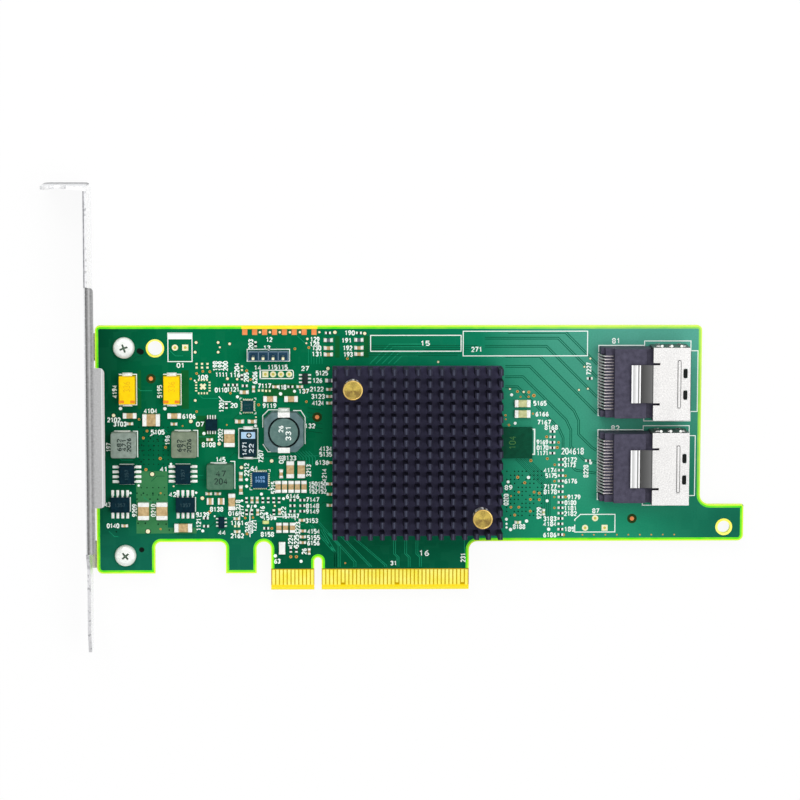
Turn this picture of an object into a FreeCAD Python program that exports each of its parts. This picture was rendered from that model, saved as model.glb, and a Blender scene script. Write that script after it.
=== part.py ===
import FreeCAD, Part
import math
import os

from FreeCAD import Vector

# Every size is in millimetres.
# X runs from the bracket to the far end of the card and is zero on the centre line of the key notch.
# Y runs from the edge of the gold fingers to the top edge of the board and is zero on that edge.
# Z runs out of the component face of the board and is zero on that face.

# Board outline
board_thickness = 1.57
board_height = 68.90
board_length = 167.65
board_left_reach = 57.15
tail_length = 11.40
tail_width = 9.50
finger_depth = 12.65
finger_left_reach = 12.15
finger_right_reach = 39.15
key_notch_width = 1.90
key_notch_depth = 8.50
key_slot_width = 3.75
small_tab_width = 7.95
ear_gap = 18.25
ear_bottom = 4.40
outer_corner_radius = 1.20
inner_corner_radius = 1.50
tail_root_radius = 2.60
tail_corner_radius = 1.50
tail_upper_radius = 0.40
finger_root_radius = 2.20
finger_bevel_length = 0.80
finger_bevel_depth = 0.40

# Edge contacts
contact_pitch = 1.00
contact_width = 0.70
contact_bottom = 0.80
contact_top = 5.30
contact_thickness = 0.04
contact_count = 49
count_before_key = 11
first_contact_after_key = 1.50
short_contacts = (17, 31, 48)
short_contact_cut = 1.10

# Holes through the board
tooling_hole_x = -41.80
tooling_hole_inset = 5.85
tooling_hole_diameter = 3.80
tail_hole_x = 105.45
tail_hole_y = 16.25
tail_hole_diameter = 3.20

# Top edge pads
edge_pad_count = 8
edge_pad_pitch = 2.54
edge_pad_first_x = -18.75
edge_pad_width = 1.30
edge_pad_length = 1.45
edge_pad_inset = 0.95
edge_pad_thickness = 0.04

# Bracket
sheet = 0.86
bracket_stand_off = 1.80
bracket_height = 120.02
bracket_top = 105.40
bracket_rear = -3.65
bracket_width = 18.42
top_tab_reach = 10.80
bend_radius = 0.35
tongue_width = 10.19
shoulder_y = 11.50
tip_taper_length = 5.80
tip_taper_depth = 2.60
screw_notch_width = 4.42
screw_notch_depth = 5.10
screw_notch_offset = 6.35
top_tab_corner = 2.20
lip_bottom = 11.90
lip_length = 68.00
lip_reach = 2.40
lip_corner = 1.00
flange_bottom = 23.85
flange_length = 35.65
flange_reach = 5.00
flange_step = 0.20
flange_corner = 1.30
vent_across_flats = 1.70
vent_pitch = 3.80
vent_row_pitch = 1.84
vent_rows = 5
vent_columns = 11
vent_first_y = 20.20
foot_width = 7.00
foot_end_margin = 3.35
foot_corner = 2.00
foot_relief = 0.80

# Bracket screws
screw_x = -49.75
upper_screw_inset = 5.70
lower_screw_y = 9.20
screw_diameter = 3.00
screw_length = 4.00
screw_head_diameter = 5.50
screw_head_height = 1.80
screw_recess_width = 0.70
screw_recess_span = 3.10
screw_recess_depth = 1.00
screw_clearance = 0.15
thread_clearance = 0.05

# Controller chip and its heat sink
sink_x = 25.45
sink_y = 36.90
chip_side = 29.00
chip_thickness = 1.90
lid_side = 24.00
lid_thickness = 0.90
pad_side = 25.00
pad_thickness = 0.30
sink_base_thickness = 2.20
sink_pin_height = 6.80
sink_pin_count = 15
sink_pin_pitch = 3.02
sink_pin_x = 1.20
sink_pin_y = 1.60
push_pin_pitch_count = 5.5
push_pin_head_diameter = 5.10
push_pin_head_height = 0.90
push_pin_head_gap = 0.10
push_pin_shaft_diameter = 2.40
push_pin_hole_clearance = 0.30
push_pin_barb_diameter = 3.60
push_pin_barb_height = 1.70
push_pin_barb_thickness = 1.40
spring_outer_diameter = 4.60
spring_wire = 0.50
spring_turn_count = 3
spring_step_count = 8

# Sockets for the drive cables
socket_mouth_x = 95.20
upper_socket_y = 54.60
lower_socket_y = 32.65
shell_length = 9.60
shell_width = 18.80
shell_height = 8.60
shell_sheet = 0.30
flap_width = 9.80
flap_reach = 5.50
flap_slope = 2.70
flap_dip = 0.60
flap_lip_drop = 0.10
flap_rise = 0.40
slit_width = 0.55
slit_length = 1.80
bead_inset = 2.85
bead_width = 0.95
bead_length = 12.40
bead_height = 0.15
window_inset = 1.30
window_width = 1.00
window_length = 2.40
window_spread = 5.55
side_dimple_length = 1.50
side_dimple_flat = 0.70
side_dimple_height = 0.35
side_dimple_pitch = 3.20
side_dimple_count = 3
side_dimple_low_share = 0.25
leg_width = 0.90
leg_depth = 0.70
leg_inset = 2.00
leg_clearance = 0.15
housing_side_clearance = 0.15
housing_flap_gap = 0.20
housing_block_length = 8.20
housing_neck_gap = 1.50
housing_neck_drop = 1.10
housing_face_inset = 6.10
housing_face_thickness = 1.20
housing_clearance = 0.10
housing_step_length = 2.20
housing_step_drop = 2.00
socket_pitch = 0.80
socket_columns = 18
groove_width = 0.45
groove_depth = 2.50
tail_width_each = 0.28
tail_thickness = 0.20
tail_level = 4.70
tail_foot = 0.50
tail_spread = 0.90
card_slot_width = 15.20
card_slot_height = 1.40
card_slot_depth = 2.40
card_slot_level = 4.30

# Power parts
moulded_inductors = {
    "power_inductor_left": (-49.95, 38.25, 6.60, 6.60, 3.00),
    "power_inductor_middle": (-34.40, 38.35, 6.60, 6.70, 3.00),
    "power_inductor_right": (-25.20, 29.95, 6.95, 6.55, 2.80),
}
inductor_edge_cut = 0.35
inductor_clip_width = 3.00
inductor_clip_thickness = 0.15
inductor_clip_height = 1.30
drum_inductor_x = -8.75
drum_inductor_y = 41.70
drum_inductor_side = 10.20
drum_inductor_chamfer = 1.90
drum_inductor_height = 4.00
drum_bore_diameter = 8.20
drum_core_diameter = 7.30
drum_floor = 0.80
drum_core_height = 3.90
drum_clip_width = 3.10
drum_clip_reach = 1.20
drum_clip_thickness = 0.15
upper_tantalum_inset = 16.50
tantalums = {
    "tantalum_capacitor_left": (-48.95, board_height - upper_tantalum_inset, 4.30, 7.30, 2.80),
    "tantalum_capacitor_middle": (-37.55, board_height - upper_tantalum_inset, 4.30, 7.30, 2.80),
    "tantalum_capacitor_right": (-17.95, 38.55, 4.30, 7.10, 1.90),
}
tantalum_seat = 0.15
tantalum_draft = 0.12
tantalum_clip_width = 2.40
tantalum_clip_thickness = 0.15

# Chips with leads on two sides: centre, and whether the leads point along Y
transistors = {
    "power_transistor_a": (-49.25, 30.40, False),
    "power_transistor_b": (-34.80, 30.45, False),
    "power_transistor_c": (-51.05, 22.55, True),
    "power_transistor_d": (-34.25, 22.50, True),
}
so_body_span = 3.90
so_body_length = 4.90
so_body_height = 1.45
so_lead_pitch = 1.27
so_lead_width = 0.42
so_lead_span = 6.00
so_lead_foot = 0.60
so_lead_count = 4
lead_thickness = 0.18
body_seat = 0.10
regulator_x = -27.40
regulator_y = 43.30
regulator_side = 3.00
regulator_height = 0.95
regulator_lead_pitch = 0.65
regulator_lead_width = 0.28
regulator_lead_span = 4.90
regulator_lead_foot = 0.50
logic_x = -24.95
logic_y = 17.80
logic_span = 1.60
logic_length = 2.90
logic_height = 1.00
logic_lead_pitch = 0.95
logic_lead_width = 0.35
logic_lead_span = 2.80
logic_lead_foot = 0.40
logic_lead_count = 3

# Flat chips: centre, width, length, height
flat_chips = {
    "driver_chip": (-14.95, 28.90, 4.10, 4.10, 0.90),
    "clock_chip": (-18.00, 48.10, 2.90, 2.90, 0.85),
    "memory_chip": (49.40, 38.50, 12.00, 8.00, 1.10),
}

# Four-pin header
header_x = -12.70
header_inset = 7.65
header_pin_count = 4
header_pitch = 2.54
header_body_width = 2.50
header_body_height = 2.50
header_pin_side = 0.64
header_pin_top = 8.40
header_pin_bottom = 3.00
header_hole_side = 0.80

# Ceramic capacitors: centre, length, width, height, turned so that the length runs along Y
large_capacitors = (
    (-42.85, 44.60, 4.50, 3.00, 1.60, False),
    (-22.80, 39.85, 4.40, 2.70, 1.60, True),
    (-45.00, 20.90, 4.50, 2.80, 1.60, True),
    (-40.25, 20.90, 4.50, 2.80, 1.60, True),
    (-34.80, 16.45, 4.60, 2.10, 1.20, False),
    (-22.25, 23.25, 4.30, 1.70, 1.20, True),
    (-7.15, 31.65, 4.40, 1.90, 1.20, True),
    (-4.30, 31.65, 4.40, 1.90, 1.20, True),
    (52.80, 48.70, 4.10, 1.80, 1.00, False),
    (52.80, 46.00, 4.10, 1.90, 1.00, False),
)
small_capacitors = (
    (-48.40, 45.65, 3.50, 1.30, 0.80, False),
    (-36.95, 45.60, 3.50, 1.30, 0.80, False),
    (-12.30, 49.95, 3.50, 1.40, 0.80, False),
    (-6.90, 49.95, 3.50, 1.40, 0.80, False),
    (-27.85, 23.35, 1.70, 1.60, 0.80, False),
    (-25.00, 23.35, 1.70, 1.60, 0.80, False),
    (-10.30, 27.10, 3.10, 1.30, 0.80, True),
    (-8.65, 27.10, 3.10, 1.30, 0.80, True),
    (-6.95, 27.10, 3.10, 1.30, 0.80, True),
    (-5.30, 27.10, 3.10, 1.30, 0.80, True),
    (-3.60, 27.10, 3.10, 1.30, 0.80, True),
    (-10.10, 16.40, 2.60, 1.30, 0.80, True),
    (-8.40, 16.40, 2.60, 1.30, 0.80, True),
    (-6.60, 16.40, 2.60, 1.30, 0.80, True),
)
large_terminal_share = 0.24
small_terminal_share = 0.27
terminal_wrap = 0.04

# Fuse and status lamp
fuse_x = -9.30
fuse_y = 11.05
fuse_length = 3.20
fuse_width = 1.60
fuse_height = 0.90
fuse_terminal_share = 0.20
lamp_x = -13.50
lamp_y = 17.80
lamp_length = 1.60
lamp_width = 0.80
lamp_base_height = 0.30
lamp_lens_height = 0.35
lamp_lens_share = 0.60

# Places worked out from the sizes above
board_left = -board_left_reach
board_right = board_left + board_length - tail_length
tail_end = board_left + board_length
tail_top = finger_depth + tail_width
key_slot_right = -finger_left_reach
small_tab_right = key_slot_right - key_slot_width
small_tab_left = small_tab_right - small_tab_width
ear_right = small_tab_left - ear_gap
bracket_outer = board_left - bracket_stand_off
bracket_inner = bracket_outer + sheet
bracket_front = bracket_rear + bracket_width
bracket_tip = bracket_top - bracket_height
bracket_middle_z = bracket_rear + bracket_width / 2
foot_top = -board_thickness
foot_bottom = foot_top - sheet
tooling_hole_y = board_height - tooling_hole_inset
upper_screw_y = board_height - upper_screw_inset
screw_ys = (upper_screw_y, lower_screw_y)
lid_top = chip_thickness + lid_thickness
sink_bottom = lid_top + pad_thickness
sink_base_top = sink_bottom + sink_base_thickness
sink_top = sink_base_top + sink_pin_height
sink_length_x = (sink_pin_count - 1) * sink_pin_pitch + sink_pin_x
sink_length_y = (sink_pin_count - 1) * sink_pin_pitch + sink_pin_y
push_pin_offset = push_pin_pitch_count * sink_pin_pitch
push_pins = ((sink_x - push_pin_offset, sink_y + push_pin_offset),
             (sink_x + push_pin_offset, sink_y - push_pin_offset))
push_pin_hole_diameter = push_pin_shaft_diameter + 2 * push_pin_hole_clearance
push_pin_head_top = sink_top - push_pin_head_gap
push_pin_head_bottom = push_pin_head_top - push_pin_head_height
sockets = {"upper": upper_socket_y, "lower": lower_socket_y}
shell_rear_x = socket_mouth_x - shell_length
housing_width = shell_width - 2 * (shell_sheet + housing_side_clearance)
housing_height = shell_height - flap_dip - shell_sheet - housing_flap_gap
housing_neck_height = housing_height - housing_neck_drop
housing_step_height = housing_height - housing_step_drop
block_front_x = shell_rear_x - housing_neck_gap
block_rear_x = block_front_x - housing_block_length
step_rear_x = block_rear_x - housing_step_length
face_front_x = socket_mouth_x - housing_face_inset
header_y = board_height - header_inset
header_half = (header_pin_count - 1) * header_pitch / 2
header_pins = tuple(header_x - header_half + i * header_pitch for i in range(header_pin_count))


def box(x0, x1, y0, y1, z0, z1):
    return Part.makeBox(x1 - x0, y1 - y0, z1 - z0, Vector(x0, y0, z0))


def centred_box(x, y, size_x, size_y, z0, z1):
    return box(x - size_x / 2, x + size_x / 2, y - size_y / 2, y + size_y / 2, z0, z1)


def disc(x, y, diameter, z0, z1):
    return Part.makeCylinder(diameter / 2, z1 - z0, Vector(x, y, z0))


def flat(z):
    return lambda u, v: Vector(u, v, z)


def across_x(x):
    return lambda u, v: Vector(x, u, v)


def across_y(y):
    return lambda u, v: Vector(u, y, v)


def outline(corners, place):
    """A closed wire through corners (u, v, radius), each rounded by its own radius."""
    stops = []
    count = len(corners)
    for i, (u, v, radius) in enumerate(corners):
        before = corners[i - 1]
        after = corners[(i + 1) % count]
        to_before = math.hypot(before[0] - u, before[1] - v)
        to_after = math.hypot(after[0] - u, after[1] - v)
        a = ((before[0] - u) / to_before, (before[1] - v) / to_before)
        b = ((after[0] - u) / to_after, (after[1] - v) / to_after)
        if radius == 0:
            stops.append(((u, v), None, (u, v)))
            continue
        half = math.acos(a[0] * b[0] + a[1] * b[1]) / 2
        run = radius / math.tan(half)
        bisector = math.hypot(a[0] + b[0], a[1] + b[1])
        reach = radius / math.sin(half) - radius
        middle = (u + (a[0] + b[0]) / bisector * reach, v + (a[1] + b[1]) / bisector * reach)
        stops.append(((u + a[0] * run, v + a[1] * run), middle, (u + b[0] * run, v + b[1] * run)))
    edges = []
    for i, (start, middle, end) in enumerate(stops):
        if middle:
            edges.append(Part.Arc(place(*start), place(*middle), place(*end)).toShape())
        following = stops[(i + 1) % count][0]
        if math.hypot(following[0] - end[0], following[1] - end[1]) > 1e-6:
            edges.append(Part.LineSegment(place(*end), place(*following)).toShape())
    return Part.Wire(Part.__sortEdges__(edges))


def prism(corners, place, direction):
    return Part.Face(outline(corners, place)).extrude(direction)


def sharp(points):
    return [(u, v, 0) for u, v in points]


def rounded_plate(x0, x1, y0, y1, z0, z1, radii):
    """A plate with its own radius at each corner, from the low X, low Y corner anticlockwise."""
    corners = [(x0, y0, radii[0]), (x1, y0, radii[1]), (x1, y1, radii[2]), (x0, y1, radii[3])]
    return prism(corners, flat(z0), Vector(0, 0, z1 - z0))


def board_corners():
    notch = key_notch_width / 2
    slot = key_slot_width / 2
    return [
        (-finger_left_reach, 0, 0),
        (-notch, 0, 0),
        (-notch, key_notch_depth, notch * 0.98),
        (notch, key_notch_depth, notch * 0.98),
        (notch, 0, 0),
        (finger_right_reach, 0, 0),
        (finger_right_reach, finger_depth, finger_root_radius),
        (tail_end, finger_depth, tail_corner_radius),
        (tail_end, tail_top, tail_upper_radius),
        (board_right, tail_top, tail_root_radius),
        (board_right, board_height, outer_corner_radius),
        (board_left, board_height, outer_corner_radius),
        (board_left, ear_bottom, inner_corner_radius),
        (ear_right, ear_bottom, 0),
        (ear_right, finger_depth, inner_corner_radius),
        (small_tab_left, finger_depth, inner_corner_radius),
        (small_tab_left, ear_bottom, 0),
        (small_tab_right, ear_bottom, 0),
        (small_tab_right, finger_depth, slot * 0.98),
        (key_slot_right, finger_depth, slot * 0.98),
    ]


def finger_bevels():
    """Two wedges that thin the finger edge so that it slides into its slot."""
    wedges = []
    for face, inward in ((0, -finger_bevel_depth), (-board_thickness, finger_bevel_depth)):
        profile = sharp([(0, face), (finger_bevel_length, face), (0, face + inward)])
        start = across_x(-finger_left_reach)
        wedges.append(prism(profile, start, Vector(finger_left_reach + finger_right_reach, 0, 0)))
    return wedges


def board_holes():
    through = -board_thickness
    holes = [disc(screw_x, y, screw_diameter + 2 * screw_clearance, through, 0) for y in screw_ys]
    holes.append(disc(tooling_hole_x, tooling_hole_y, tooling_hole_diameter, through, 0))
    holes.append(disc(tail_hole_x, tail_hole_y, tail_hole_diameter, through, 0))
    holes += [disc(x, y, push_pin_hole_diameter, through, 0) for x, y in push_pins]
    hole = header_hole_side
    holes += [centred_box(x, header_y, hole, hole, through, 0) for x in header_pins]
    for middle in sockets.values():
        for x, y in leg_places(middle):
            size_x = leg_width + 2 * leg_clearance
            size_y = shell_sheet + 2 * leg_clearance
            holes.append(centred_box(x, y, size_x, size_y, through, 0))
    return holes


def circuit_board():
    blank = prism(board_corners(), flat(-board_thickness), Vector(0, 0, board_thickness))
    return blank.cut(finger_bevels() + board_holes())


def contact_places():
    places = []
    for number in range(1, contact_count + 1):
        x = first_contact_after_key + (number - count_before_key - 1) * contact_pitch
        if number <= count_before_key:
            x = -first_contact_after_key - (count_before_key - number) * contact_pitch
        places.append((number, x))
    return places


def edge_contacts(bottom, top, with_short):
    pads = []
    for number, x in contact_places():
        low = contact_bottom
        if with_short and number in short_contacts:
            low += short_contact_cut
        pads.append(box(x - contact_width / 2, x + contact_width / 2, low, contact_top, bottom, top))
    return Part.makeCompound(pads)


def top_edge_pads():
    top = board_height - edge_pad_inset
    pads = []
    for i in range(edge_pad_count):
        x = edge_pad_first_x + i * edge_pad_pitch
        pads.append(box(x - edge_pad_width / 2, x + edge_pad_width / 2, top - edge_pad_length, top,
                        0, edge_pad_thickness))
    return Part.makeCompound(pads)


def bracket_plate():
    """The upright plate: full width above the shoulders, then the tongue with its tapered tip."""
    half = bracket_width / 2
    tongue = tongue_width / 2
    shoulder = half - tongue
    tip = tongue - tip_taper_depth
    bent = bracket_front - sheet - bend_radius
    outer_radius = sheet + bend_radius
    low = shoulder_y - shoulder
    taper = bracket_tip + tip_taper_length
    middle = bracket_middle_z
    points = sharp([
        (bracket_top - outer_radius, bracket_rear),
        (bracket_top - outer_radius, bracket_front),
        (lip_bottom + lip_length, bracket_front),
        (lip_bottom + lip_length, bent),
        (lip_bottom, bent),
        (lip_bottom, bracket_front),
        (shoulder_y, bracket_front),
        (low, middle + tongue),
        (taper, middle + tongue),
        (bracket_tip, middle + tip),
        (bracket_tip, middle - tip),
        (taper, middle - tongue),
        (low, middle - tongue),
        (shoulder_y, bracket_rear),
    ])
    return prism(points, across_x(bracket_outer), Vector(sheet, 0, 0))


def bracket_lip():
    """The edge folded over toward the board, with rounded ends."""
    outer = sheet + bend_radius
    top = bracket_front
    profile = [
        (bracket_outer, top - outer, 0),
        (bracket_outer, top, outer),
        (bracket_outer + lip_reach, top, 0),
        (bracket_outer + lip_reach, top - sheet, 0),
        (bracket_inner, top - sheet, bend_radius),
        (bracket_inner, top - outer, 0),
    ]
    strip = prism(profile, across_y(lip_bottom), Vector(0, lip_length, 0))
    radii = (0, lip_corner, lip_corner, 0)
    trim = rounded_plate(bracket_outer, bracket_outer + lip_reach, lip_bottom, lip_bottom + lip_length,
                         top - outer, top, radii)
    return strip.common(trim)


def bracket_flange():
    """The wider part of the folded edge, which covers the edge of the board."""
    top = bracket_front - flange_step
    radii = (0, flange_corner, flange_corner, 0)
    return rounded_plate(bracket_inner + bend_radius, bracket_outer + flange_reach, flange_bottom,
                         flange_bottom + flange_length, top - sheet, top, radii)


def bracket_top_tab():
    """The tab that bends away from the card, with its screw notch open toward the component side."""
    outer = sheet + bend_radius
    end = bracket_outer - top_tab_reach
    low = bracket_top - sheet
    profile = [
        (bracket_outer, bracket_top - outer, 0),
        (bracket_inner, bracket_top - outer, 0),
        (bracket_inner, bracket_top, outer),
        (end, bracket_top, 0),
        (end, low, 0),
        (bracket_outer, low, bend_radius),
    ]
    tab = prism(profile, flat(bracket_rear), Vector(0, 0, bracket_width))
    corner = top_tab_corner
    plan = [
        (bracket_inner, bracket_rear, 0),
        (bracket_inner, bracket_front, 0),
        (end, bracket_front, corner),
        (end, bracket_rear, corner),
    ]
    trim = prism(plan, across_y(low - bend_radius), Vector(0, outer, 0))
    radius = screw_notch_width / 2
    x = bracket_outer - screw_notch_offset
    z = bracket_front - screw_notch_depth + radius
    round_end = Part.makeCylinder(radius, outer, Vector(x, low - bend_radius, z), Vector(0, 1, 0))
    mouth = box(x - radius, x + radius, low - bend_radius, bracket_top, z, bracket_front)
    return tab.common(trim).cut([round_end, mouth])


def bracket_foot(y):
    """A foot folded behind the board, with the tapped hole for its screw."""
    outer = sheet + bend_radius
    end = screw_x + foot_end_margin
    half = foot_width / 2
    profile = [
        (bracket_inner, foot_top + bend_radius, 0),
        (bracket_outer, foot_top + bend_radius, 0),
        (bracket_outer, foot_bottom, outer),
        (end, foot_bottom, 0),
        (end, foot_top, 0),
        (bracket_inner, foot_top, bend_radius),
    ]
    fold = prism(profile, across_y(y - half), Vector(0, foot_width, 0))
    trim = rounded_plate(bracket_outer, end, y - half, y + half, foot_bottom, foot_top + bend_radius,
                         (0, foot_corner, foot_corner, 0))
    bore = disc(screw_x, y, screw_diameter + 2 * thread_clearance, foot_bottom, foot_top)
    return fold.common(trim).cut(bore)


def foot_reliefs():
    """Room cut from the plate round each foot, so that the fold is free."""
    cuts = []
    for y in screw_ys:
        half = foot_width / 2 + foot_relief
        cuts.append(box(bracket_outer, bracket_inner, y - half, y + half,
                        bracket_rear, foot_top + bend_radius))
    return cuts


def vent_places():
    """Staggered rows of vents that keep clear of the feet."""
    places = []
    for row in range(vent_rows):
        z = bracket_middle_z + (row - (vent_rows - 1) / 2) * vent_row_pitch
        shift = vent_pitch / 2 if row % 2 else 0
        for column in range(vent_columns):
            y = vent_first_y + shift + column * vent_pitch
            low = z - vent_across_flats
            beside_foot = min(abs(y - foot_y) for foot_y in screw_ys) < foot_width / 2 + vent_pitch / 2
            if low < foot_top + bend_radius + vent_across_flats and beside_foot:
                continue
            places.append((y, z))
    return places


def vents():
    reach = vent_across_flats / math.sqrt(3)
    cutters = []
    for y, z in vent_places():
        points = []
        for i in range(6):
            angle = math.radians(60 * i)
            points.append((y + reach * math.cos(angle), z + reach * math.sin(angle)))
        cutters.append(prism(sharp(points), across_x(bracket_outer), Vector(sheet, 0, 0)))
    return cutters


def mounting_bracket():
    plate = bracket_plate().cut(foot_reliefs() + vents())
    folds = [bracket_lip(), bracket_flange(), bracket_top_tab()]
    folds += [bracket_foot(y) for y in screw_ys]
    return plate.multiFuse(folds).removeSplitter()


def bracket_screw(y):
    """A machine screw with a cross recess in its flat round head."""
    head = disc(screw_x, y, screw_head_diameter, 0, screw_head_height)
    shank = disc(screw_x, y, screw_diameter, -screw_length, 0)
    low = screw_head_height - screw_recess_depth
    cross = [
        centred_box(screw_x, y, screw_recess_span, screw_recess_width, low, screw_head_height),
        centred_box(screw_x, y, screw_recess_width, screw_recess_span, low, screw_head_height),
    ]
    return head.fuse(shank).cut(cross)


def fin_profile():
    """The extruded section: a base with its fins."""
    left = sink_x - sink_length_x / 2
    right = sink_x + sink_length_x / 2
    points = [(right, sink_bottom), (left, sink_bottom)]
    for i in range(sink_pin_count):
        start = left + i * sink_pin_pitch
        end = start + sink_pin_x
        if i:
            points.append((start, sink_base_top))
        points += [(start, sink_top), (end, sink_top)]
        if i < sink_pin_count - 1:
            points.append((end, sink_base_top))
    return sharp(points)


def heat_sink():
    """An extruded finned bar, cross-cut into pins, with a clear place and a hole at each push pin."""
    front = sink_y - sink_length_y / 2
    body = prism(fin_profile(), across_y(front), Vector(0, sink_length_y, 0))
    cuts = []
    for i in range(sink_pin_count - 1):
        start = front + i * sink_pin_pitch + sink_pin_y
        end = front + (i + 1) * sink_pin_pitch
        cuts.append(centred_box(sink_x, (start + end) / 2, sink_length_x, end - start,
                                sink_base_top, sink_top))
    clear_x = sink_pin_pitch + sink_pin_x
    clear_y = sink_pin_pitch + sink_pin_y
    for x, y in push_pins:
        cuts.append(centred_box(x, y, clear_x, clear_y, sink_base_top, sink_top))
        cuts.append(disc(x, y, push_pin_hole_diameter, sink_bottom, sink_base_top))
    return body.cut(cuts)


def push_pin(x, y):
    """A pin with a round head and shaft, and a flat barb that hooks behind the board."""
    seat = -board_thickness
    head = disc(x, y, push_pin_head_diameter, push_pin_head_bottom, push_pin_head_top)
    shaft = disc(x, y, push_pin_shaft_diameter, seat, push_pin_head_bottom)
    wide = push_pin_barb_diameter / 2
    narrow = push_pin_shaft_diameter / 3
    low = seat - push_pin_barb_height
    profile = sharp([(x - wide, seat), (x - narrow, low), (x + narrow, low), (x + wide, seat)])
    barb = prism(profile, across_y(y - push_pin_barb_thickness / 2), Vector(0, push_pin_barb_thickness, 0))
    return shaft.multiFuse([head, barb])


def coil_spring(x, y):
    """A round coil of square wire, built as a ruled skin round the shaft of a push pin."""
    radius = (spring_outer_diameter - spring_wire) / 2
    half = spring_wire / 2
    low = sink_base_top + half
    rise = push_pin_head_bottom - sink_base_top - spring_wire
    count = spring_turn_count * spring_step_count
    sections = []
    for i in range(count + 1):
        angle = 2 * math.pi * i / spring_step_count
        z = low + rise * i / count
        corners = []
        for side, up in ((-half, -half), (half, -half), (half, half), (-half, half)):
            reach = radius + side
            corners.append(Vector(x + reach * math.cos(angle), y + reach * math.sin(angle), z + up))
        sections.append(Part.makePolygon(corners + corners[:1]))
    return Part.makeLoft(sections, True, True)


def leg_places(middle):
    """The solder legs of a shell: two on each side wall."""
    side = (shell_width - shell_sheet) / 2
    places = []
    for x in (shell_rear_x + leg_inset, socket_mouth_x - leg_inset):
        places += [(x, middle - side), (x, middle + side)]
    return places


def shell_flap(middle):
    """The sprung latch plate that reaches back from the shell over the housing."""
    rear = shell_rear_x - flap_reach
    dip_x = shell_rear_x - flap_slope
    lip = shell_height - flap_lip_drop
    dip = shell_height - flap_dip
    upper = [(shell_rear_x, shell_height), (dip_x, dip), (dip_x - flap_rise, lip), (rear, lip)]
    lower = [(u, v - shell_sheet) for u, v in reversed(upper)]
    place = across_y(middle - flap_width / 2)
    return prism(sharp(upper + lower), place, Vector(0, flap_width, 0))


def side_dimples(middle):
    """Pressed springs that stand out of both side walls of a shell."""
    dimples = []
    centre_x = (shell_rear_x + socket_mouth_x) / 2
    for side in (-1, 1):
        wall = middle + side * shell_width / 2
        peak = wall + side * side_dimple_height
        for i in range(side_dimple_count):
            x = centre_x + (i - (side_dimple_count - 1) / 2) * side_dimple_pitch
            profile = sharp([(x - side_dimple_length / 2, wall), (x - side_dimple_flat / 2, peak),
                             (x + side_dimple_flat / 2, peak), (x + side_dimple_length / 2, wall)])
            low = shell_height * side_dimple_low_share
            dimples.append(prism(profile, flat(low), Vector(0, 0, shell_height - 2 * low)))
    return dimples


def socket_shell(middle):
    """A folded sheet sleeve with latch flap, slits, bead, latch windows, side dimples and legs."""
    centre_x = (shell_rear_x + socket_mouth_x) / 2
    roof = shell_height - shell_sheet
    outer = centred_box(centre_x, middle, shell_length, shell_width, 0, shell_height)
    inner = centred_box(centre_x, middle, shell_length, shell_width - 2 * shell_sheet, shell_sheet, roof)
    cuts = [inner]
    for side in (-1, 1):
        y = middle + side * (flap_width + slit_width) / 2
        cuts.append(centred_box(shell_rear_x + slit_length / 2, y, slit_length, slit_width,
                                roof, shell_height))
        y = middle + side * window_spread / 2
        cuts.append(centred_box(socket_mouth_x - window_inset, y, window_width, window_length,
                                roof, shell_height))
    bead = centred_box(socket_mouth_x - bead_inset, middle, bead_width, bead_length,
                       shell_height, shell_height + bead_height)
    added = [shell_flap(middle), bead] + side_dimples(middle)
    bottom = -board_thickness - leg_depth
    for x, y in leg_places(middle):
        added.append(centred_box(x, y, leg_width, shell_sheet, bottom, 0))
    return outer.cut(cuts).multiFuse(added).removeSplitter()


def contact_rows(middle):
    """The places across the socket of its upper contacts; the lower ones lie half a pitch aside."""
    half = (socket_columns - 1) / 2
    return [middle + (i - half) * socket_pitch for i in range(socket_columns)]


def socket_housing(middle):
    """The moulded body: solder step with grooves, main block, neck and the face with the card slot."""
    low = shell_sheet + housing_clearance
    inner_height = shell_height - shell_sheet - housing_clearance
    block = centred_box((block_rear_x + block_front_x) / 2, middle, housing_block_length, housing_width,
                        0, housing_height)
    step = centred_box((step_rear_x + block_rear_x) / 2, middle, housing_step_length, housing_width,
                       0, housing_step_height)
    face_rear = face_front_x - housing_face_thickness
    neck = centred_box((block_front_x + face_rear) / 2, middle, face_rear - block_front_x, housing_width,
                       low, housing_neck_height)
    face = centred_box((face_rear + face_front_x) / 2, middle, housing_face_thickness, housing_width,
                       low, inner_height)
    body = block.multiFuse([step, neck, face])
    cuts = []
    for y in contact_rows(middle):
        cuts.append(centred_box((step_rear_x + block_rear_x) / 2, y, housing_step_length, groove_width,
                                housing_step_height - groove_depth, housing_step_height))
    cuts.append(centred_box(face_front_x - card_slot_depth / 2, middle, card_slot_depth, card_slot_width,
                            card_slot_level - card_slot_height / 2, card_slot_level + card_slot_height / 2))
    return body.cut(cuts).removeSplitter()


def socket_contacts(middle):
    """Upper contacts run in the grooves and down to the board; lower ones leave at the board."""
    heel = step_rear_x - tail_spread
    toe = heel - tail_foot
    level = tail_level
    thick = tail_thickness
    profile = sharp([(block_rear_x, level), (block_rear_x, level - thick), (step_rear_x, level - thick),
                     (heel, 0), (toe, 0), (step_rear_x - thick, level)])
    pieces = []
    for y in contact_rows(middle):
        start = across_y(y - tail_width_each / 2)
        pieces.append(prism(profile, start, Vector(0, tail_width_each, 0)))
        y += socket_pitch / 2
        pieces.append(box(heel, step_rear_x, y - tail_width_each / 2, y + tail_width_each / 2, 0, thick))
    return Part.makeCompound(pieces)


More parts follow.
